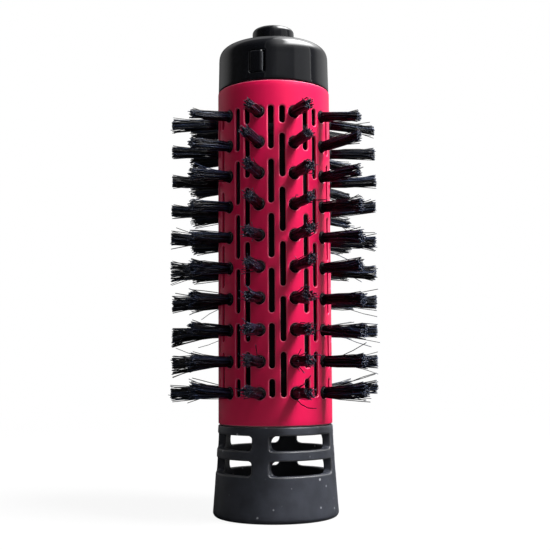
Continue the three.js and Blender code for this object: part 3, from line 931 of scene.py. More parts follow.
FAR_RIGHT = TuftHabit((-1.8, 0.0, 0.6, 1.7, -0.2, -0.3, -0.1, 0.0, -0.1, 1.3),
                      (-0.2, 0.3, -0.4, 0.1, 0.2, -0.3, 0.0, 0.3, -0.2, 0.1),
                      (2.6, 4.0, 3.6, 2.9, 4.1, 4.0, 3.7, 3.6, 3.7, 3.8))
BACK_LEFT = TuftHabit((0.5, 0.9, 0.4, 0.2, 0.2, 0.1, 0.0, 0.0, 0.0, 0.2),
                      (0.0, 0.3, 0.1, -0.2, 0.1, 0.0, 0.2, -0.1, 0.0, 0.1),
                      (4.6, 4.6, 4.8, 4.2, 4.2, 4.4, 4.4, 4.6, 4.6, 4.6))


@dataclass
class Pattern:
    """Where the rows and rings of tufts are, and the habits of the rows that the photograph shows."""

    rows: int = 10
    rings: int = 10
    turn: float = 2.7
    top_ring: float = 110.85
    pitch: float = 8.52
    seen: dict[int, TuftHabit] = field(default_factory=lambda: {
        0: FRONT_LEFT, 1: FRONT_RIGHT, 2: SIDE_RIGHT, 3: FAR_RIGHT, 7: BACK_LEFT, 8: FAR_LEFT, 9: SIDE_LEFT})

    def azimuth(self, row: float) -> float:
        """The azimuth of a row of tufts, in degrees."""
        return self.turn + (row - 0.5) * 360.0 / self.rows

    def height(self, ring: int | np.ndarray) -> float | np.ndarray:
        """The height of a ring of tufts, or of many."""
        return self.top_ring - ring * self.pitch


@dataclass
class Collar:
    """The base collar: a vented, slightly hollow cone with the bearing neck and the lock lugs."""

    height: float = 25.2
    foot_radius: float = 17.55
    top_radius: float = 16.05
    foot_edge: float = 1.3
    rim_edge: float = 0.3
    hollow: float = 0.45
    wall_foot: float = 2.55
    wall_top: float = 2.1
    web_under: float = 23.3
    web_corner: Profile = ((12.9, 23.3), (13.3, 23.7), (13.6, 23.95))
    seat: float = 24.5
    recess: float = 15.05
    chamfer: float = 0.1
    vent_rows: Sequence[float] = (20.92, 14.3)
    vent_height: float = 4.0
    vents: int = 4
    pillar: float = 17.5
    turn: float = -14.7
    vent_corner: float = 0.9
    vent_inner_corner: float = 1.9
    vent_draft: float = 0.4
    vent_roll: float = 0.38
    reference: float = 16.0
    neck: float = 12.53
    neck_inner: float = 10.83
    neck_top: float = 30.9
    fillet: float = 0.3
    bore_edge: float = 0.2
    groove: float = 11.83
    groove_low: float = 28.6
    groove_high: float = 30.0
    groove_edge: float = 0.05
    lugs: int = 3
    lug_span: float = 22.0
    lug_outer: float = 15.2
    lug_inner: float = 13.8
    lug_levels: Sequence[float] = (3.5, 5.5)

    def outer(self, z: np.ndarray) -> np.ndarray:
        """Outer radius: a + (b - a) s - h s (1 - s) for s from 0 at the foot to 1 at the top, h = hollow.

        Args:
            z: the heights.

        Returns:
            The radii.
        """
        share = np.clip((z - self.foot_edge) / (self.height - self.foot_edge), 0.0, 1.0)
        straight = self.foot_radius + (self.top_radius - self.foot_radius) * share
        return straight - self.hollow * share * (1 - share)

    def inner(self, z: np.ndarray) -> np.ndarray:
        """Inner radius: straight from the foot's wall to the top's wall.

        Args:
            z: the heights.

        Returns:
            The radii.
        """
        share = z / self.web_under
        foot = self.foot_radius - self.wall_foot
        return foot + (self.top_radius - self.wall_top - foot) * share

    def windows(self) -> list[Window]:
        """The vents of one sector, whose middle is half a sector from its pillar."""
        half = math.radians(360.0 / self.vents - self.pillar) * self.reference / 2
        middle = math.radians(180.0 / self.vents) * self.reference
        return [Window(middle, up, half, self.vent_height / 2, self.vent_corner, self.vent_inner_corner,
                       self.vent_draft) for up in self.vent_rows]

    def crown(self) -> Profile:
        """Profile over the top: edge, recess, neck with its groove, bore, and the web's underside."""
        edge, chamfer, fillet, bore_edge = self.groove_edge, self.chamfer, self.fillet, self.bore_edge
        return [
            *round_edge(self.top_radius, self.height, fillet, steps=3), (self.recess + chamfer, self.height),
            (self.recess, self.height - chamfer), (self.recess, self.seat + chamfer),
            (self.recess - chamfer, self.seat), (self.neck + fillet, self.seat),
            (self.neck, self.seat + fillet), (self.neck, self.groove_low - edge),
            (self.neck - edge, self.groove_low), (self.groove, self.groove_low),
            (self.groove, self.groove_high), (self.neck - edge, self.groove_high),
            (self.neck, self.groove_high + edge), (self.neck, self.neck_top - fillet),
            (self.neck - fillet, self.neck_top), (self.neck_inner + bore_edge, self.neck_top),
            (self.neck_inner, self.neck_top - bore_edge), (self.neck_inner, self.web_under + fillet),
            (self.neck_inner + fillet, self.web_under), *self.web_corner,
        ]

    def foot(self) -> Profile:
        """Profile under the foot: the rounded outer edge, the flat rim and the inner edge."""
        rim = self.foot_radius - self.wall_foot
        middle = self.rim_edge * 0.3
        return [*round_edge(self.foot_radius, 0.0, self.foot_edge, steps=8, up=False)[1:],
                (rim + self.rim_edge, 0.0), (rim + middle, middle), (rim, self.rim_edge)]

    def lock_lugs(self) -> Shell:
        """The lugs inside the wall: a ring's sector carried up, once for each."""
        half = self.lug_span / 2
        angles = np.radians(np.linspace(-half, half, 9))
        outside, inside = around(angles, self.lug_outer, 0.0), around(angles[::-1], self.lug_inner, 0.0)
        lug = prism(np.concatenate([outside, inside])[:, :2], self.lug_levels)
        return lug.turned(360.0 / self.lugs * np.arange(self.lugs))

    def build(self) -> None:
        """Makes the collar."""
        wall = PerforatedWall(
            sectors=self.vents, start=self.turn, low=self.foot_edge, high=self.web_corner[-1][1],
            outer=self.outer, inner=self.inner, reference=self.reference, windows=self.windows(),
            roll=self.vent_roll, top=self.crown(), bottom=self.foot(), roll_steps=4, step_along=0.7,
            step_up=1.2, corner_steps=6, reach=0.7)
        shell = Shell.joined([wall.shell(), self.lock_lugs()])
        make_piece("collar_shell", shell, Finishes.COLLAR, Body.BASE, ["base_collar"])


@dataclass
class Barrel:
    """The perforated barrel with its slots, its bosses' holes and its rolled ends."""

    pattern: Pattern
    radius: float = 16.0
    wall: float = 0.8
    bottom: float = 25.5
    top: float = 119.6
    first_line: float = 2.73
    slot_half_width: float = 0.8
    slot_long: float = 12.1
    slot_short: float = 4.9
    bridge: float = 2.8
    long_slots: int = 5
    spread: float = 3.17
    slot_top: float = 112.55
    hole_radius: float = 1.72
    roll: float = 0.27
    end_roll: float = 0.3
    end_mark: float = 0.8

    def column(self, along: float, short_first: bool) -> list[Window]:
        """One column of slots from the top down, with its short slot first or last.

        Args:
            along: the column's place along the wall.
            short_first: whether the short slot is at the top.

        Returns:
            The slots.
        """
        lengths = [self.slot_long] * self.long_slots
        lengths.insert(0 if short_first else self.long_slots, self.slot_short)
        ends = self.slot_top - np.cumsum([0.0] + [length + self.bridge for length in lengths[:-1]])
        return [Window(along, float(end - length / 2), self.slot_half_width, length / 2,
                       self.slot_half_width) for end, length in zip(ends, lengths)]

    def windows(self) -> list[Window]:
        """One sector: two columns of slots and the holes of one row of tufts.

        The columns stand on both sides of the first line, which is where a gap's middle lies from the
        sector's left edge, so that no hole is cut in two. The row is half a row's turn further on.

        Returns:
            The slots and the holes.
        """
        half = self.spread / 2
        row_along = self.first_line + math.pi * self.radius / self.pattern.rows
        holes = [Window(row_along, float(self.pattern.height(ring)), self.hole_radius, self.hole_radius,
                        self.hole_radius) for ring in range(self.pattern.rings)]
        return [*self.column(self.first_line - half, False), *self.column(self.first_line + half, True),
                *holes]

    def end(self, level: float, up: bool) -> Profile:
        """Profile round one end of the wall, over its outer and its inner edge.

        Args:
            level: the end's height.
            up: whether it is the upper end.

        Returns:
            The points as (radius, z).
        """
        outer = round_edge(self.radius, level, self.end_roll, steps=3, up=up)
        inner = round_edge(self.radius - self.wall, level, self.end_roll, steps=3, up=up, outer=False)
        return outer[1:] + inner[:0:-1]

    def build(self) -> None:
        """Makes the barrel."""
        wall = PerforatedWall(
            sectors=self.pattern.rows, start=self.pattern.turn - math.degrees(self.first_line / self.radius),
            low=self.bottom + self.end_roll, high=self.top - self.end_roll,
            outer=lambda z: np.full_like(z, self.radius),
            inner=lambda z: np.full_like(z, self.radius - self.wall), reference=self.radius,
            windows=self.windows(), roll=self.roll, top=self.end(self.top, True),
            bottom=self.end(self.bottom, False), roll_steps=2, end_mark=self.end_mark)
        make_piece("barrel_skin", wall.shell(), Finishes.BARREL, Body.BRUSH, ["barrel_tube"])


@dataclass
class Cap:
    """The end cap: a drafted wall with two windows, a squarish dome and the boss for the knob."""

    bottom: float = 119.9
    foot_radius: float = 15.86
    foot_roll: float = 0.2
    shoulder_radius: float = 15.7
    shoulder: float = 128.0
    rise: float = 5.7
    reach: float = 13.0
    exponent: float = 3.64
    wall: float = 1.2
    inner_edge: float = 0.1
    boss_bottom: float = 127.1
    boss_radius: float = 4.35
    boss_clear: float = 0.4
    boss_root: float = 0.2
    stem_hole: float = 2.5
    stem_edge: float = 0.15
    tongue_turn: float = -16.7
    window_bottom: float = 121.95
    window_top: float = 128.45
    window_width: float = 4.7
    window_corner: float = 0.55
    window_roll: float = 0.22
    reference: float = 15.8
    sheet_top: float = 129.6

    @property
    def top(self) -> float:
        """The height of the dome's top."""
        return self.shoulder + self.rise

    def outer(self, z: np.ndarray) -> np.ndarray:
        """Outer radius: drafted to the shoulder, then r = s - reach (1 - (1 - h^n)^(1/n)), h = rise share.

        Args:
            z: the heights.

        Returns:
            The radii.
        """
        share = np.clip((z - self.bottom) / (self.shoulder - self.bottom), 0.0, 1.0)
        drafted = self.foot_radius + (self.shoulder_radius - self.foot_radius) * share
        height = np.clip((z - self.shoulder) / self.rise, 0.0, 1.0)
        dome = (1 - height ** self.exponent) ** (1 / self.exponent)
        return drafted - self.reach * (1 - dome)

    def inner(self, z: np.ndarray) -> np.ndarray:
        """Inner radius: the outer one less the wall, held straight up to the shoulder."""
        return np.minimum(self.outer(z), self.shoulder_radius) - self.wall

    def dome(self, inset: float, steps: int) -> Profile:
        """Superellipse from the sheet's top to the middle, moved in and down by an inset.

        A point at the angle p is s - inset - reach (1 - cos(p)^(2/n)) from the axis, and
        rise sin(p)^(2/n) over the shoulder less the inset.

        Args:
            inset: how far it lies inside the outer dome.
            steps: its flats.

        Returns:
            The points as (radius, z).
        """
        first = math.asin(((self.sheet_top - self.shoulder) / self.rise) ** (self.exponent / 2))
        angle = np.linspace(first, math.pi / 2, steps + 1)[1:]
        power = 2 / self.exponent
        radius = self.shoulder_radius - inset - self.reach * (1 - np.cos(angle) ** power)
        height = self.shoulder - inset + self.rise * np.sin(angle) ** power
        return [*zip(radius.tolist(), height.tolist())]

    def crown(self) -> Profile:
        """Profile over the dome, down the stem's hole, round the boss and back under the dome."""
        clear = self.boss_radius + self.boss_clear
        under = [point for point in self.dome(self.wall, steps=16) if point[0] > clear]
        return [
            *self.dome(0.0, steps=28), (self.stem_hole + self.stem_edge, self.top),
            (self.stem_hole, self.top - self.stem_edge), (self.stem_hole, self.boss_bottom),
            (self.boss_radius, self.boss_bottom),
            (self.boss_radius, self.top - self.wall - self.boss_root), *under[::-1],
        ]

    def foot(self) -> Profile:
        """Profile under the wall: a rolled outer edge and a small inner one."""
        inner = self.shoulder_radius - self.wall
        return [*round_edge(self.foot_radius, self.bottom, self.foot_roll, steps=2, up=False)[1:],
                (inner + self.inner_edge, self.bottom), (inner, self.bottom + self.inner_edge)]

    def build(self) -> None:
        """Makes the cap, with its windows in the middle of two half turns."""
        window = Window(
            self.reference * math.pi / 2, (self.window_bottom + self.window_top) / 2, self.window_width / 2,
            (self.window_top - self.window_bottom) / 2, self.window_corner)
        wall = PerforatedWall(
            sectors=2, start=self.tongue_turn - 90.0, low=self.bottom + self.foot_roll, high=self.sheet_top,
            outer=self.outer, inner=self.inner, reference=self.reference, windows=[window],
            roll=self.window_roll, top=self.crown(), bottom=self.foot(), roll_steps=3, step_along=0.62,
            step_up=0.8, corner_steps=5, reach=0.5)
        make_piece("cap_shell", wall.shell(), Finishes.CAP, Body.BRUSH, ["end_cap"])


@dataclass
class SnapTongue:
    """A tongue whose pad fills a window of the cap, with its face bent to the cap's roundness.

    The pad has soft edges, and on its right a flat bevel whose beginning carries a painted highlight in grey.
    """

    side: str
    azimuth: float
    body: Body
    half_width: float = 2.15
    face: float = 15.88
    arm: float = 13.98
    arm_back: float = 12.78
    arm_top: float = 128.4
    root_back: float = 12.38
    root_bottom: float = 119.9
    root_top: float = 121.3
    pad_bottom: float = 122.12
    pad_top: float = 128.28
    soft_edge: float = 0.4
    bevel: float = 0.9
    bevel_slope: float = 1.45
    # How steeply the painted highlight on the bevel rises and falls, and the share of the bevel where it
    # ends.
    highlight_rise: float = 5.0
    highlight_fall: float = 4.0
    highlight_end: float = 0.65
    steps: int = 7

    def edged(self, half: float, low_edge: float, high_edge: float) -> np.ndarray:
        """Places from -half to half, crowded towards both ends: half - e (1 - sin a) near each end.

        Args:
            half: half the length.
            low_edge: how far the low end's crowding reaches, e.
            high_edge: the same at the high end.

        Returns:
            The places.
        """
        rise = 1 - np.sin(np.linspace(0.0, np.pi / 2, self.steps))
        middle = np.linspace(low_edge - half, half - high_edge, self.steps)[1:-1]
        return np.concatenate([low_edge * rise[::-1] - half, middle, half - high_edge * rise])

    def fall(self, left: np.ndarray) -> np.ndarray:
        """How far the face lies back near an edge: e - sqrt(e^2 - (e - d)^2), d = what is left to it."""
        short = np.clip(self.soft_edge - left, 0.0, self.soft_edge)
        return self.soft_edge - np.sqrt(np.maximum(self.soft_edge**2 - short**2, 0.0))

    def pad(self, across: np.ndarray, up: np.ndarray, half_height: float) -> tuple[np.ndarray, np.ndarray]:
        """The pad's face: sqrt(f^2 - s^2) less a soft fall at three edges and a bevel at the fourth.

        The bevel takes slope (b - d) off, where d is the distance to the right edge. Its painted highlight
        mark rises from its beginning, and falls to 0 again at a share of its depth.

        Args:
            across: places across, as a column.
            up: places up from the pad's middle.
            half_height: half the pad's height.

        Returns:
            The face's distance from the axis and its marks, a row to a place across.
        """
        slant = self.bevel_slope * np.maximum(self.bevel - (self.half_width - across), 0.0)
        back = self.fall(half_height - np.abs(up))[None, :] + self.fall(self.half_width + across) + slant
        # Painted highlight: a grey band over the bevel's beginning.
        share = slant / (self.bevel_slope * self.bevel)
        rising = np.clip(self.highlight_rise * share, 0.0, 1.0)
        falling = np.clip(self.highlight_fall * (self.highlight_end - share), 0.0, 1.0)
        face = np.sqrt(self.face**2 - across**2) - back
        return face, np.broadcast_to(PAINTED_HIGHLIGHT_MARK * rising * falling, face.shape)

    def build(self) -> None:
        """Carries the side view, root, arm and pad, across the width, and closes both ends."""
        middle = (self.pad_bottom + self.pad_top) / 2
        half_height = (self.pad_top - self.pad_bottom) / 2
        up = self.edged(half_height, self.soft_edge, self.soft_edge)
        across = self.edged(self.half_width, self.soft_edge, self.bevel)[:, None]
        # worn holds the marks of the painted highlight on the bevel.
        face, worn = self.pad(across, up, half_height)
        below = np.array([(self.root_back, self.root_bottom), (self.arm, self.root_bottom),
                          (self.arm, self.pad_bottom)])
        above = np.array([(self.arm, self.pad_top), (self.arm, self.arm_top), (self.arm_back, self.arm_top),
                          (self.arm_back, self.root_top), (self.root_back, self.root_top)])
        count = len(across)
        distance = np.hstack([np.tile(below[:, 0], (count, 1)), face, np.tile(above[:, 0], (count, 1))])
        height = np.tile(np.concatenate([below[:, 1], middle + up, above[:, 1]]), (count, 1))
        marks = np.pad(worn, ((0, 0), (len(below), len(above))))
        points = np.stack([np.broadcast_to(across, distance.shape), -distance, height], axis=-1)
        skin = Shell.grid(points, True, marks)
        corners = distance.shape[1]
        ends = np.stack([np.arange(corners), np.arange(corners)[::-1] + (count - 1) * corners])
        faces = np.pad(skin.faces, ((0, 0), (0, corners - 4)), constant_values=-1)
        shell = Shell.of(skin.points, np.concatenate([faces, ends]), skin.marks).turned([self.azimuth])
        name = f"snap_tongue_{self.side}"
        make_piece(f"tongue_pad_{self.side}", shell, Finishes.CAP, self.body, [name])


@dataclass
class Knob:
    """The cool-tip knob: a round head with a soft edge on a stem with a bore for its screw."""

    radius: float = 6.0
    bottom: float = 134.0
    top: float = 138.8
    flat: float = 2.4
    edge: float = 1.24
    under_edge: float = 0.35
    under_bend: float = 0.1
    stem: float = 2.2
    stem_bottom: float = 127.1
    stem_fillet: float = 0.3
    stem_edge: float = 0.2
    bore: float = 1.2
    bore_top: float = 132.4

    def build(self) -> None:
        """Makes the knob: its profile from the top's middle to the bore's end, turned."""
        profile = [
            (0.0, self.top), (self.flat, self.top),
            *round_edge(self.radius, self.top, self.edge, steps=8)[::-1],
            (self.radius, self.bottom + self.under_edge),
            (self.radius - self.under_bend, self.bottom + self.under_bend),
            (self.radius - self.under_edge, self.bottom), (self.stem + self.stem_fillet, self.bottom),
            (self.stem, self.bottom - self.stem_fillet), (self.stem, self.stem_bottom + self.stem_edge),
            (self.stem - self.stem_edge, self.stem_bottom), (self.bore, self.stem_bottom),
            (self.bore, self.bore_top), (0.0, self.bore_top),
        ]
        shell = lathe(profile, full_turn(columns=72))
        make_piece("knob_head", shell, Finishes.CAP, Body.KNOB, ["tip_knob"])


@dataclass(frozen=True)
class Scatter:
    """How unlike one another the tufts and their strands are, and how worn.

    A single number is the spread of a normal draw or the share of something, a pair the range of an even
    draw or of a line, and lengths are in millimetres.
    """

    habit: float = 0.5
    habit_leans: Pair = (-1.5, 0.9)
    habit_widths: Pair = (2.9, 4.3)
    least_width: float = 2.3
    root: float = 0.03
    wild: Pair = (0.15, 1.2)
    clump: float = 0.42
    worn_after: float = 4.0
    least_worn: float = 0.3
    stray_chance: float = 0.03
    stray_worn_chance: float = 0.05
    stray: Pair = (0.3, 1.0)
    loose: float = 0.17
    loose_wild: float = 0.14
    loose_stray: float = 1.9
    shortfall: float = 0.42
    tuft_shortfall: Pair = (-0.1, 0.3)
    lean_shortfall: float = 0.3
    stray_shortfall: Pair = (-0.8, 1.0)
    bow: float = 0.14
    stray_bow: float = 1.2
    curl: float = 0.3
    corner_turn: Pair = (0.0, 2.0)
    thickness: Pair = (0.85, 1.15)


@dataclass
class BristleCarrier:
    """One carrier: bars and ties behind the barrel's wall, bosses in its holes, and dense tufts.

    The arrays of its strands run over rings, strands and then what is said of each: two places, across
    and up from the boss's middle, or one number.
    """

    number: int
    rows: Sequence[int]
    pattern: Pattern
    scatter: Scatter = Scatter()
    bar_half_width: float = 2.2
    bar_inner: float = 12.9
    bar_outer: float = 14.55
    bar_corner: float = 0.35
    tie_half_depth: float = 0.6
    tie_corner: float = 0.3
    tie_height: float = 3.0
    tie_inset: float = 6.0
    bottom: float = 30.97
    top: float = 114.05
    boss_radius: float = 1.55
    boss_root: float = 13.9
    boss_face: float = 16.5
    boss_rim: Profile = ((0.0, 0.3), (0.1, 0.08), (0.28, 0.0))
    boss_dish: Profile = ((1.2, 0.25), (0.0, 0.3))
    boss_flats: int = 14
    strands: int = 78
    strand_radius: float = 0.13
    strand_sunk: float = 0.55
    least_length: float = 8.0
    bundle: float = 1.35
    tuft_width: float = 2.15
    opening: float = 0.8
    narrowing: float = 0.9
    clumps: int = 7
    clump_step: int = 9
    tip: float = 29.45
    farthest: float = 30.05
    farthest_half: float = 2.6
    farthest_slope: float = 0.33
    opening_power: float = 1.2
    curl_start: float = 0.7
    curl_length: float = 0.3
    levels: Sequence[float] = (0.0, 0.35, 0.7, 0.975, 1.0)
    sides: int = 3
    golden_angle: float = 2.39996
    seed: int = 4100
    random: np.random.Generator = field(init=False)

    def __post_init__(self) -> None:
        """Seeds the carrier's own random numbers."""
        self.random = np.random.default_rng(self.seed + self.number)

    @property
    def start(self) -> float:
        """How far from the axis the strands begin, inside their boss."""
        return self.boss_face - self.strand_sunk

    def bars(self) -> list[Shell]:
        """A bar for each row and two ties between neighbours, rounded rectangles carried straight up."""
        middle = (self.bar_inner + self.bar_outer) / 2
        half = (self.bar_outer - self.bar_inner) / 2
        section = rounded_rectangle(self.bar_half_width, half, self.bar_corner, 3, math.inf) - [0.0, middle]
        bar = prism(section, [self.bottom, self.top], MOULDED_MARK)
        shells = [bar.turned([self.pattern.azimuth(row) for row in self.rows])]
        half_gap = math.pi / self.pattern.rows
        tie = rounded_rectangle(middle * math.sin(half_gap), self.tie_half_depth, self.tie_corner, 2,
                                math.inf) - [0.0, middle * math.cos(half_gap)]
        gaps = [self.pattern.azimuth(row - 0.5) for row in self.rows[1:]]
        for low in (self.bottom + self.tie_inset, self.top - self.tie_inset - self.tie_height):
            shells.append(prism(tie, [low, low + self.tie_height], MOULDED_MARK).turned(gaps))
        return shells

    def bosses(self) -> Shell:
        """A turned boss for each tuft: a rounded rim round a dished face that the tuft fills."""
        rim = [(self.boss_radius - inset, self.boss_face - depth) for inset, depth in self.boss_rim]
        dish = [(radius, self.boss_face - depth) for radius, depth in self.boss_dish]
        profile = np.array([(0.0, self.boss_root), (self.boss_radius, self.boss_root), *rim, *dish])
        radius, out = profile[:, :1], profile[:, 1:]
        turn = full_turn(self.boss_flats)
        one = np.stack(np.broadcast_arrays(radius * np.cos(turn), -out, radius * np.sin(turn)), axis=-1)
        column = [Shell.grid(one + [0.0, 0.0, self.pattern.height(ring)], True, MOULDED_MARK)
                  for ring in range(self.pattern.rings)]
        return Shell.joined(column).turned([self.pattern.azimuth(row) for row in self.rows])

    def habit(self, row: int) -> tuple[np.ndarray, np.ndarray, np.ndarray]:
        """The leans, bends and widths of a row's tufts: as seen, or drawn at random round an average.

        The average lean is a straight line from the top ring to the lowest one, times sqrt |t| with t
        from -1 to 1, so that the tufts lean most at both ends.

        Args:
            row: the row's number.

        Returns:
            A lean, a bend and a width for each ring.
        """
        rings, scatter = self.pattern.rings, self.scatter
        droop = np.linspace(*scatter.habit_leans, rings) * np.abs(np.linspace(-1.0, 1.0, rings)) ** 0.5
        leans = droop + self.random.normal(0.0, scatter.habit, rings)
        bends = self.random.normal(0.0, scatter.habit, rings)
        widths = np.linspace(*scatter.habit_widths, rings) + self.random.normal(0.0, scatter.habit, rings)
        seen = self.pattern.seen.get(row)
        if seen:
            return np.array(seen.leans), np.array(seen.bends), np.array(seen.widths)
        return leans, bends, np.maximum(widths, scatter.least_width)

    def roots(self) -> np.ndarray:
        """Where the strands stand in their bundle, a sunflower's pattern with a little scatter.

        Strand i of n is at the radius R sqrt(i / n), turned from the one before by the golden angle.

        Returns:
            The two places of each root.
        """
        rings, count = self.pattern.rings, self.strands
        index = np.arange(count)[None, :, None] + 0.5
        angle = index * self.golden_angle + self.random.uniform(0, 2 * np.pi, (rings, 1, 1))
        way = np.concatenate([np.cos(angle), np.sin(angle)], axis=-1)
        root = self.bundle * np.sqrt(index / count) * way
        return root + self.random.normal(0.0, self.scatter.root, (rings, count, 2))

    def tips(self, root: np.ndarray, spread: np.ndarray, lean: np.ndarray) -> tuple[np.ndarray, np.ndarray]:
        """Where the strands end: b = a (1 + o (w - 1)) + lean + the clump's offset + the strand's own.

        Here a is the root, o the opening and w the spread. A strand belongs to the clump whose middle
        strand is nearest, and few strands stray far, more of them in the lower rings, which are worn.

        Args:
            root: the strands' roots.
            spread: how many times wider than its bundle a tuft ends, for each ring.
            lean: the two bends of a tuft's end, for each ring.

        Returns:
            The two places of each tip, and how much each strand strays, from 0 to 1.
        """
        rings, count, scatter = self.pattern.rings, self.strands, self.scatter
        wild = np.clip(spread - 1.0, *scatter.wild)
        middles = root[:, None, :self.clumps * self.clump_step:self.clump_step]
        nearest = np.argmin(np.linalg.norm(root[:, :, None] - middles, axis=-1), axis=2)
        offsets = self.random.normal(0.0, scatter.clump, (rings, self.clumps, 2)) * wild
        shared = np.take_along_axis(offsets, nearest[:, :, None], axis=1)
        worn = np.clip(np.arange(rings) / scatter.worn_after, scatter.least_worn, 1.0)[:, None, None]
        chance = scatter.stray_chance + scatter.stray_worn_chance * worn
        stray = self.random.random((rings, count, 1)) < chance
        stray = stray * self.random.uniform(*scatter.stray, (rings, count, 1))
        looseness = scatter.loose + scatter.loose_wild * wild + scatter.loose_stray * worn * stray
        loose = self.random.normal(0.0, 1.0, (rings, count, 2)) * looseness
        opened = root * (1 + (spread - 1) * self.opening) * np.array([self.narrowing, 1.0])
        return opened + lean + shared + loose, stray

    def ends(self, tip: np.ndarray, lean: np.ndarray, stray: np.ndarray) -> np.ndarray:
        """How far from the axis the strands end: short of the tip's distance by a sum of four terms.

        They are the strand's own worn length, its tuft's, one that grows with the lean's square, and the
        stray's. A strand that ends far to a side ends sooner, inside the solids' outline.

        Args:
            tip: the strands' tips.
            lean: the two bends of a tuft's end, for each ring.
            stray: how much each strand strays.

        Returns:
            One distance for each strand.
        """
        rings, count, scatter = self.pattern.rings, self.strands, self.scatter
        short = np.abs(self.random.normal(0.0, scatter.shortfall, (rings, count, 1)))
        short = short + self.random.uniform(*scatter.tuft_shortfall, (rings, 1, 1))
        short = short + scatter.lean_shortfall * (lean[..., 1:] / 2) ** 2
        short = short + stray * self.random.uniform(*scatter.stray_shortfall, (rings, count, 1))
        beyond = np.maximum(np.abs(tip[..., :1]) - self.farthest_half, 0.0)
        limit = self.farthest - self.farthest_slope * beyond
        return np.clip(self.tip - short, self.start + self.least_length, limit)

    def rods(self, root: np.ndarray, tip: np.ndarray, end: np.ndarray, stray: np.ndarray) -> Shell:
        """Bends a thin rod along every strand.

        Its middle line lies at a + (b - a) s^1.2 across the tuft for s from 0 at the root a to 1 at the
        tip b, plus a bow times sin(pi s) and a curl that grows evenly over the last part of s.

        Args:
            root: the strands' roots.
            tip: the strands' tips.
            end: how far from the axis they end.
            stray: how much each strand strays, which bows it more.

        Returns:
            The rods of all rings, in front of the axis.
        """
        rings, count, scatter = self.pattern.rings, self.strands, self.scatter
        bow = self.random.normal(0.0, scatter.bow, (rings, count, 2)) * (1 + scatter.stray_bow * stray)
        curl = self.random.normal(0.0, scatter.curl, (rings, count, 2))
        along = np.array(self.levels)[:, None]
        across = root[:, :, None] + (tip - root)[:, :, None] * along ** self.opening_power
        across = across + bow[:, :, None] * np.sin(np.pi * along)
        across = across + curl[:, :, None] * np.maximum(along - self.curl_start, 0.0) / self.curl_length
        out = self.start + (end - self.start)[:, :, None] * along
        corner = full_turn(self.sides) + self.random.uniform(*scatter.corner_turn, (rings, count, 1, 1))
        thickness = self.strand_radius * self.random.uniform(*scatter.thickness, (rings, count, 1, 1))
        x = across[..., 0:1] + thickness * np.cos(corner)
        z = across[..., 1:2] + thickness * np.sin(corner)
        heights = self.pattern.height(np.arange(rings))[:, None, None, None]
        points = np.stack([x, np.broadcast_to(-out, x.shape), z + heights], axis=-1)
        shade = self.random.random((rings, count, 1, 1))
        # A cut end's extra mark of 0.5 gives it its finish's painted glint.
        marks = np.broadcast_to(0.5 * shade + 0.5 * (along == self.levels[-1]), x.shape)
        return Shell.of(points, self.strand_faces(rings * count), marks.reshape(-1))

    def strand_faces(self, strands: int) -> np.ndarray:
        """Faces of many strands: quads along each, and a triangle at each end.

        Args:
            strands: how many there are.

        Returns:
            Four point numbers to a face, the last of a triangle's being -1.
        """
        sides, levels = self.sides, len(self.levels)
        ring = np.arange(sides)
        following = (ring + 1) % sides
        level = np.arange(levels - 1)[:, None] * sides
        corners = [level + ring, level + following, level + sides + following, level + sides + ring]
        quads = np.stack(np.broadcast_arrays(*corners), axis=-1).reshape(-1, 4)
        caps = np.full((2, 4), -1)
        caps[0, :sides] = ring[::-1]
        caps[1, :sides] = ring + (levels - 1) * sides
        one = np.concatenate([quads, caps])
        starts = np.arange(strands)[:, None, None] * (sides * levels)
        return np.where(one < 0, -1, one + starts).reshape(-1, 4)

    def tufts(self, row: int) -> Shell:
        """All strands of one row, at its azimuth.

        Args:
            row: the row's number.

        Returns:
            The strands, each a thin three-sided bent rod.
        """
        leans, bends, widths = self.habit(row)
        root = self.roots()
        spread = (widths / (self.tuft_width * self.bundle))[:, None, None]
        lean = np.stack([bends, leans], axis=-1)[:, None]
        tip, stray = self.tips(root, spread, lean)
        end = self.ends(tip, lean, stray)
        return self.rods(root, tip, end, stray).turned([self.pattern.azimuth(row)])

    def build(self) -> None:
        """Makes the carrier with its tufts."""
        tufts = [self.tufts(row) for row in self.rows]
        shell = Shell.joined([*self.bars(), self.bosses(), *tufts])
        name = f"bristle_carrier_{self.number}"
        make_piece(f"bristle_rows_{self.number}", shell, Finishes.BRISTLE, Body.BRUSH, [name])


@dataclass(frozen=True)
class InnerParts:
    """The CAD nodes that stay as they are, by the finish that each gets."""

    steel: Sequence[str] = ("retaining_clip", "tie_rod", "tie_washer", "tie_nut", "knob_washer",
                            "knob_screw")
    frame_plastic: Sequence[str] = ("drive_spider", "core_tube", "top_plug")
    bearing: Sequence[str] = ("thrust_washer",)
    brass: Sequence[str] = ("drive_insert",)

    def dress(self) -> None:
        """Gives each of the nodes its finish."""
        groups = ((self.steel, Finishes.STEEL), (self.frame_plastic, Finishes.FRAME),
                  (self.bearing, Finishes.BEARING), (self.brass, Finishes.BRASS))
        for names, finish in groups:
            for name in names:
                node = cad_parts[name]
                node.data.materials.clear()
                node.data.materials.append(finish.value.material())
                LOG.info("%s: CAD node in %s", name, finish.value.name)


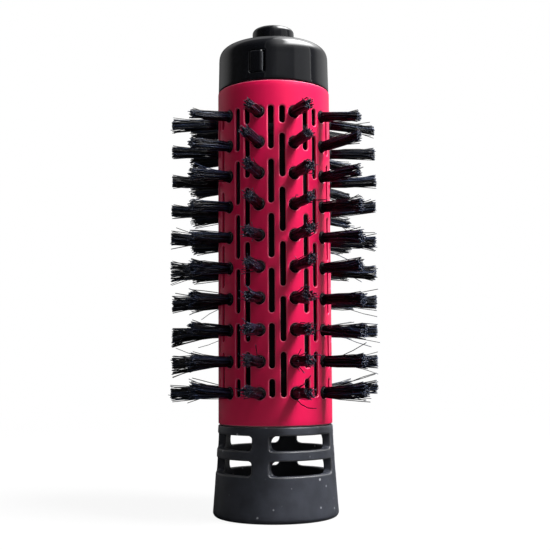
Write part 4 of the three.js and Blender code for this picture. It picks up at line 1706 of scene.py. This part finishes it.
# ------------------------------------------------------------------ stage, light and camera
@dataclass(frozen=True)
class Lamp:
    """A square area lamp: angles in degrees, distance and size in metres, power in watts."""

    name: str
    azimuth: float
    elevation: float
    distance: float
    size: float
    power: float

    def build(self, aim: Vector) -> None:
        """Makes the lamp, turned towards a place and not mirrored itself.

        Args:
            aim: the place, from which its distance is measured.
        """
        turn, rise = math.radians(self.azimuth), math.radians(self.elevation)
        place = Vector((math.sin(turn) * math.cos(rise), -math.cos(turn) * math.cos(rise),
                        math.sin(rise))) * self.distance + aim
        data = bpy.data.lights.new(self.name, "AREA")
        data.size = self.size
        data.energy = self.power
        made = bpy.data.objects.new(self.name, data)
        made.visible_glossy = False
        made.location = place
        made.rotation_euler = (aim - place).to_track_quat("-Z", "Y").to_euler()
        bpy.context.scene.collection.objects.link(made)


@dataclass
class Studio:
    """A pale floor, a white surround and three lamps, in metres.

    The key light is at the upper right. The other two are weak, behind the top left and in front.
    """

    ambient: float = 0.079
    aim_height: float = 0.075
    lamps: Sequence[Lamp] = (
        Lamp("key_light", 63.0, 54.0, 1.2, 0.5, 34.0), Lamp("top_light", -115.0, 66.0, 0.8, 0.4, 1.0),
        Lamp("front_light", 8.0, 6.0, 1.2, 0.6, 1.1))
    floor_half: float = 12.0
    floor_white: float = 0.92
    floor_near: float = 0.15
    floor_far: float = 0.6
    floor_pale: float = 0.8
    floor_dull: float = 0.16
    floor_dark: float = 0.04

    def floor(self) -> None:
        """A wide floor: nearly white to the camera, dull to the light that bounces, dark in mirrors.

        The camera sees a pale paper with a bright one over it, whose share grows to 1 away from the head.
        """
        mesh = bpy.data.meshes.new("floor")
        corners = np.array([(-1, -1, 0), (1, -1, 0), (1, 1, 0), (-1, 1, 0)]) * self.floor_half
        mesh.from_pydata(corners.tolist(), [], [(0, 1, 2, 3)])
        made = bpy.data.objects.new("floor", mesh)
        bpy.context.scene.collection.objects.link(made)
        paper = bpy.data.materials.new("pale_floor")
        tree = ShaderTree(paper)
        pale, dull, dark = (tree.node("ShaderNodeBsdfDiffuse", None, {"Color": grey(level)})
                            for level in (self.floor_pale, self.floor_dull, self.floor_dark))
        bright = tree.node("ShaderNodeEmission", None, {"Color": grey(1.0), "Strength": 1.0})
        away = tree.node("ShaderNodeVectorMath", {"operation": "LENGTH"}, {0: tree.place()}).out("Value")
        share = away.step(self.floor_near, self.floor_far) * (1.0 - self.floor_white) + self.floor_white
        path = tree.node("ShaderNodeLightPath")
        unseen = tree.either(path.out("Is Glossy Ray"), dull, dark)
        shown = tree.either(path.out("Is Camera Ray"), unseen, tree.either(share, pale, bright))
        tree.node("ShaderNodeOutputMaterial", None, {"Surface": shown.out(0)})
        mesh.materials.append(paper)

    def panels(self, tree: ShaderTree) -> Signal:
        """The room as a polished surface mirrors it: a sum of panels by azimuth and height in degrees.

        - wall: from the front left to the right, brighter in four steps, and dark above 60 degrees
        - line and edge: thin lines where the wall begins at the front left, and where it ends
        - right and left: grey behind on both sides, which fades to the back
        - window and glow: a bright slanted window high on the right, in a wide glow
        - ceiling: pale, and dimmer over the left

        Args:
            tree: the world's nodes.

        Returns:
            The room's brightness.
        """
        way = tree.node("ShaderNodeTexCoord").out("Generated")
        split = tree.node("ShaderNodeSeparateXYZ", None, {0: way})
        degrees = 180.0 / math.pi
        turn = tree.math("ARCTAN2", split.out(0), split.out(1) * -1.0) * degrees
        height = tree.math("ARCSINE", split.out(2)) * degrees
        near = turn.step(3.0, 9.0) * 0.17 + turn.step(12.0, 40.0) * 0.05
        far = turn.step(42.0, 48.0) * 0.47 + turn.step(60.0, 80.0) * 0.15
        wall = turn.band(-17.0, -14.0, 83.5, 86.0) * (near + far + 0.13) * height.step(70.0, 50.0)
        line = turn.band(-18.6, -17.4, -16.4, -15.2) * height.step(60.0, 45.0) * 0.35
        edge = turn.band(83.0, 84.2, 85.0, 86.2) * height.step(45.0, 30.0) * 1.8
        right = turn.step(85.0, 88.0) * 0.25 + turn.band(92.0, 112.0, 125.0, 178.0) * 0.64
        left = turn.band(-172.0, -125.0, -118.0, -92.0) * 0.42 + turn.step(-55.0, -80.0) * 0.03
        tilted = height + (turn - 60.0) * -0.08
        slanted = turn + (height - 37.0) * -0.35
        window = slanted.step(20.0, 40.0) * turn.step(135.0, 95.0) * tilted.step(27.0, 45.0) \
            * height.step(82.0, 66.0) * 24.0
        glow = turn.band(-14.0, 30.0, 155.0, 179.0) * tilted.step(20.0, 39.0) * 3.2
        dim = turn.band(-120.0, -85.0, -25.0, 0.0) * 0.7
        ceiling = height.step(25.0, 75.0) * (1.0 - dim) * 0.8
        return wall + line + edge + right + left + window + glow + ceiling + 0.05

    def surround(self) -> None:
        """White where the camera looks past the head, panels in reflections, and plain light else."""
        world = bpy.data.worlds.new("surround")
        bpy.context.scene.world = world
        tree = ShaderTree(world)
        path = tree.node("ShaderNodeLightPath")
        glossy = path.out("Is Glossy Ray")
        level = glossy * self.panels(tree) + (1.0 - glossy) * self.ambient
        room = tree.node("ShaderNodeBackground", None, {"Strength": level})
        white = tree.node("ShaderNodeBackground", None, {"Color": grey(1.0), "Strength": 1.0})
        shown = tree.either(path.out("Is Camera Ray"), room, white)
        tree.node("ShaderNodeOutputWorld", None, {"Surface": shown.out(0)})

    def build(self) -> None:
        """Sets the stage."""
        self.floor()
        self.surround()
        for lamp in self.lamps:
            lamp.build(Vector((0.0, 0.0, self.aim_height)))
        bpy.context.scene.view_settings.view_transform = "Standard"


@dataclass
class PhotoCamera:
    """The camera of the photograph: its place in metres, its focal length and its sensor in millimetres.

    Pitch, roll and yaw turn it from a level view along +Y, in degrees.
    """

    place: tuple[float, float, float] = (0.0, -0.27887, 0.041775)
    focal: float = 64.3
    sensor: float = 36.0
    pitch: float = 5.231
    roll: float = 0.343
    yaw: float = 0.025

    def build(self) -> None:
        """Sets the camera from its right, up and forward axes."""
        pitch, roll, yaw = (math.radians(turn) for turn in (self.pitch, self.roll, self.yaw))
        forward = Vector((math.cos(pitch) * math.sin(yaw), math.cos(pitch) * math.cos(yaw),
                          math.sin(pitch)))
        level = Vector((math.cos(yaw), -math.sin(yaw), 0.0))
        upright = level.cross(forward)
        right = level * math.cos(roll) - upright * math.sin(roll)
        upward = upright * math.cos(roll) + level * math.sin(roll)
        data = bpy.data.cameras.new("photo_camera")
        data.lens = self.focal
        data.sensor_width = self.sensor
        made = bpy.data.objects.new("photo_camera", data)
        turn = Matrix((right, upward, -forward)).transposed()
        made.matrix_world = Matrix.Translation(self.place) @ turn.to_4x4()
        bpy.context.scene.collection.objects.link(made)
        bpy.context.scene.camera = made


def main() -> None:
    """Builds the head's pieces in order, then the stage."""
    logging.basicConfig(level=logging.INFO, format="%(name)s: %(message)s")
    PhotoCamera().build()
    pattern = Pattern()
    cap = Cap()
    Collar().build()
    Barrel(pattern).build()
    cap.build()
    SnapTongue("front", cap.tongue_turn, Body.TONGUE_FRONT).build()
    SnapTongue("rear", cap.tongue_turn + 180.0, Body.TONGUE_REAR).build()
    Knob().build()
    for number, rows in enumerate(((0, 1, 2), (3, 4), (5, 6, 7), (8, 9)), start=1):
        BristleCarrier(number, rows, pattern).build()
    InnerParts().dress()
    Studio().build()


if __name__ == "__main__":
    main()
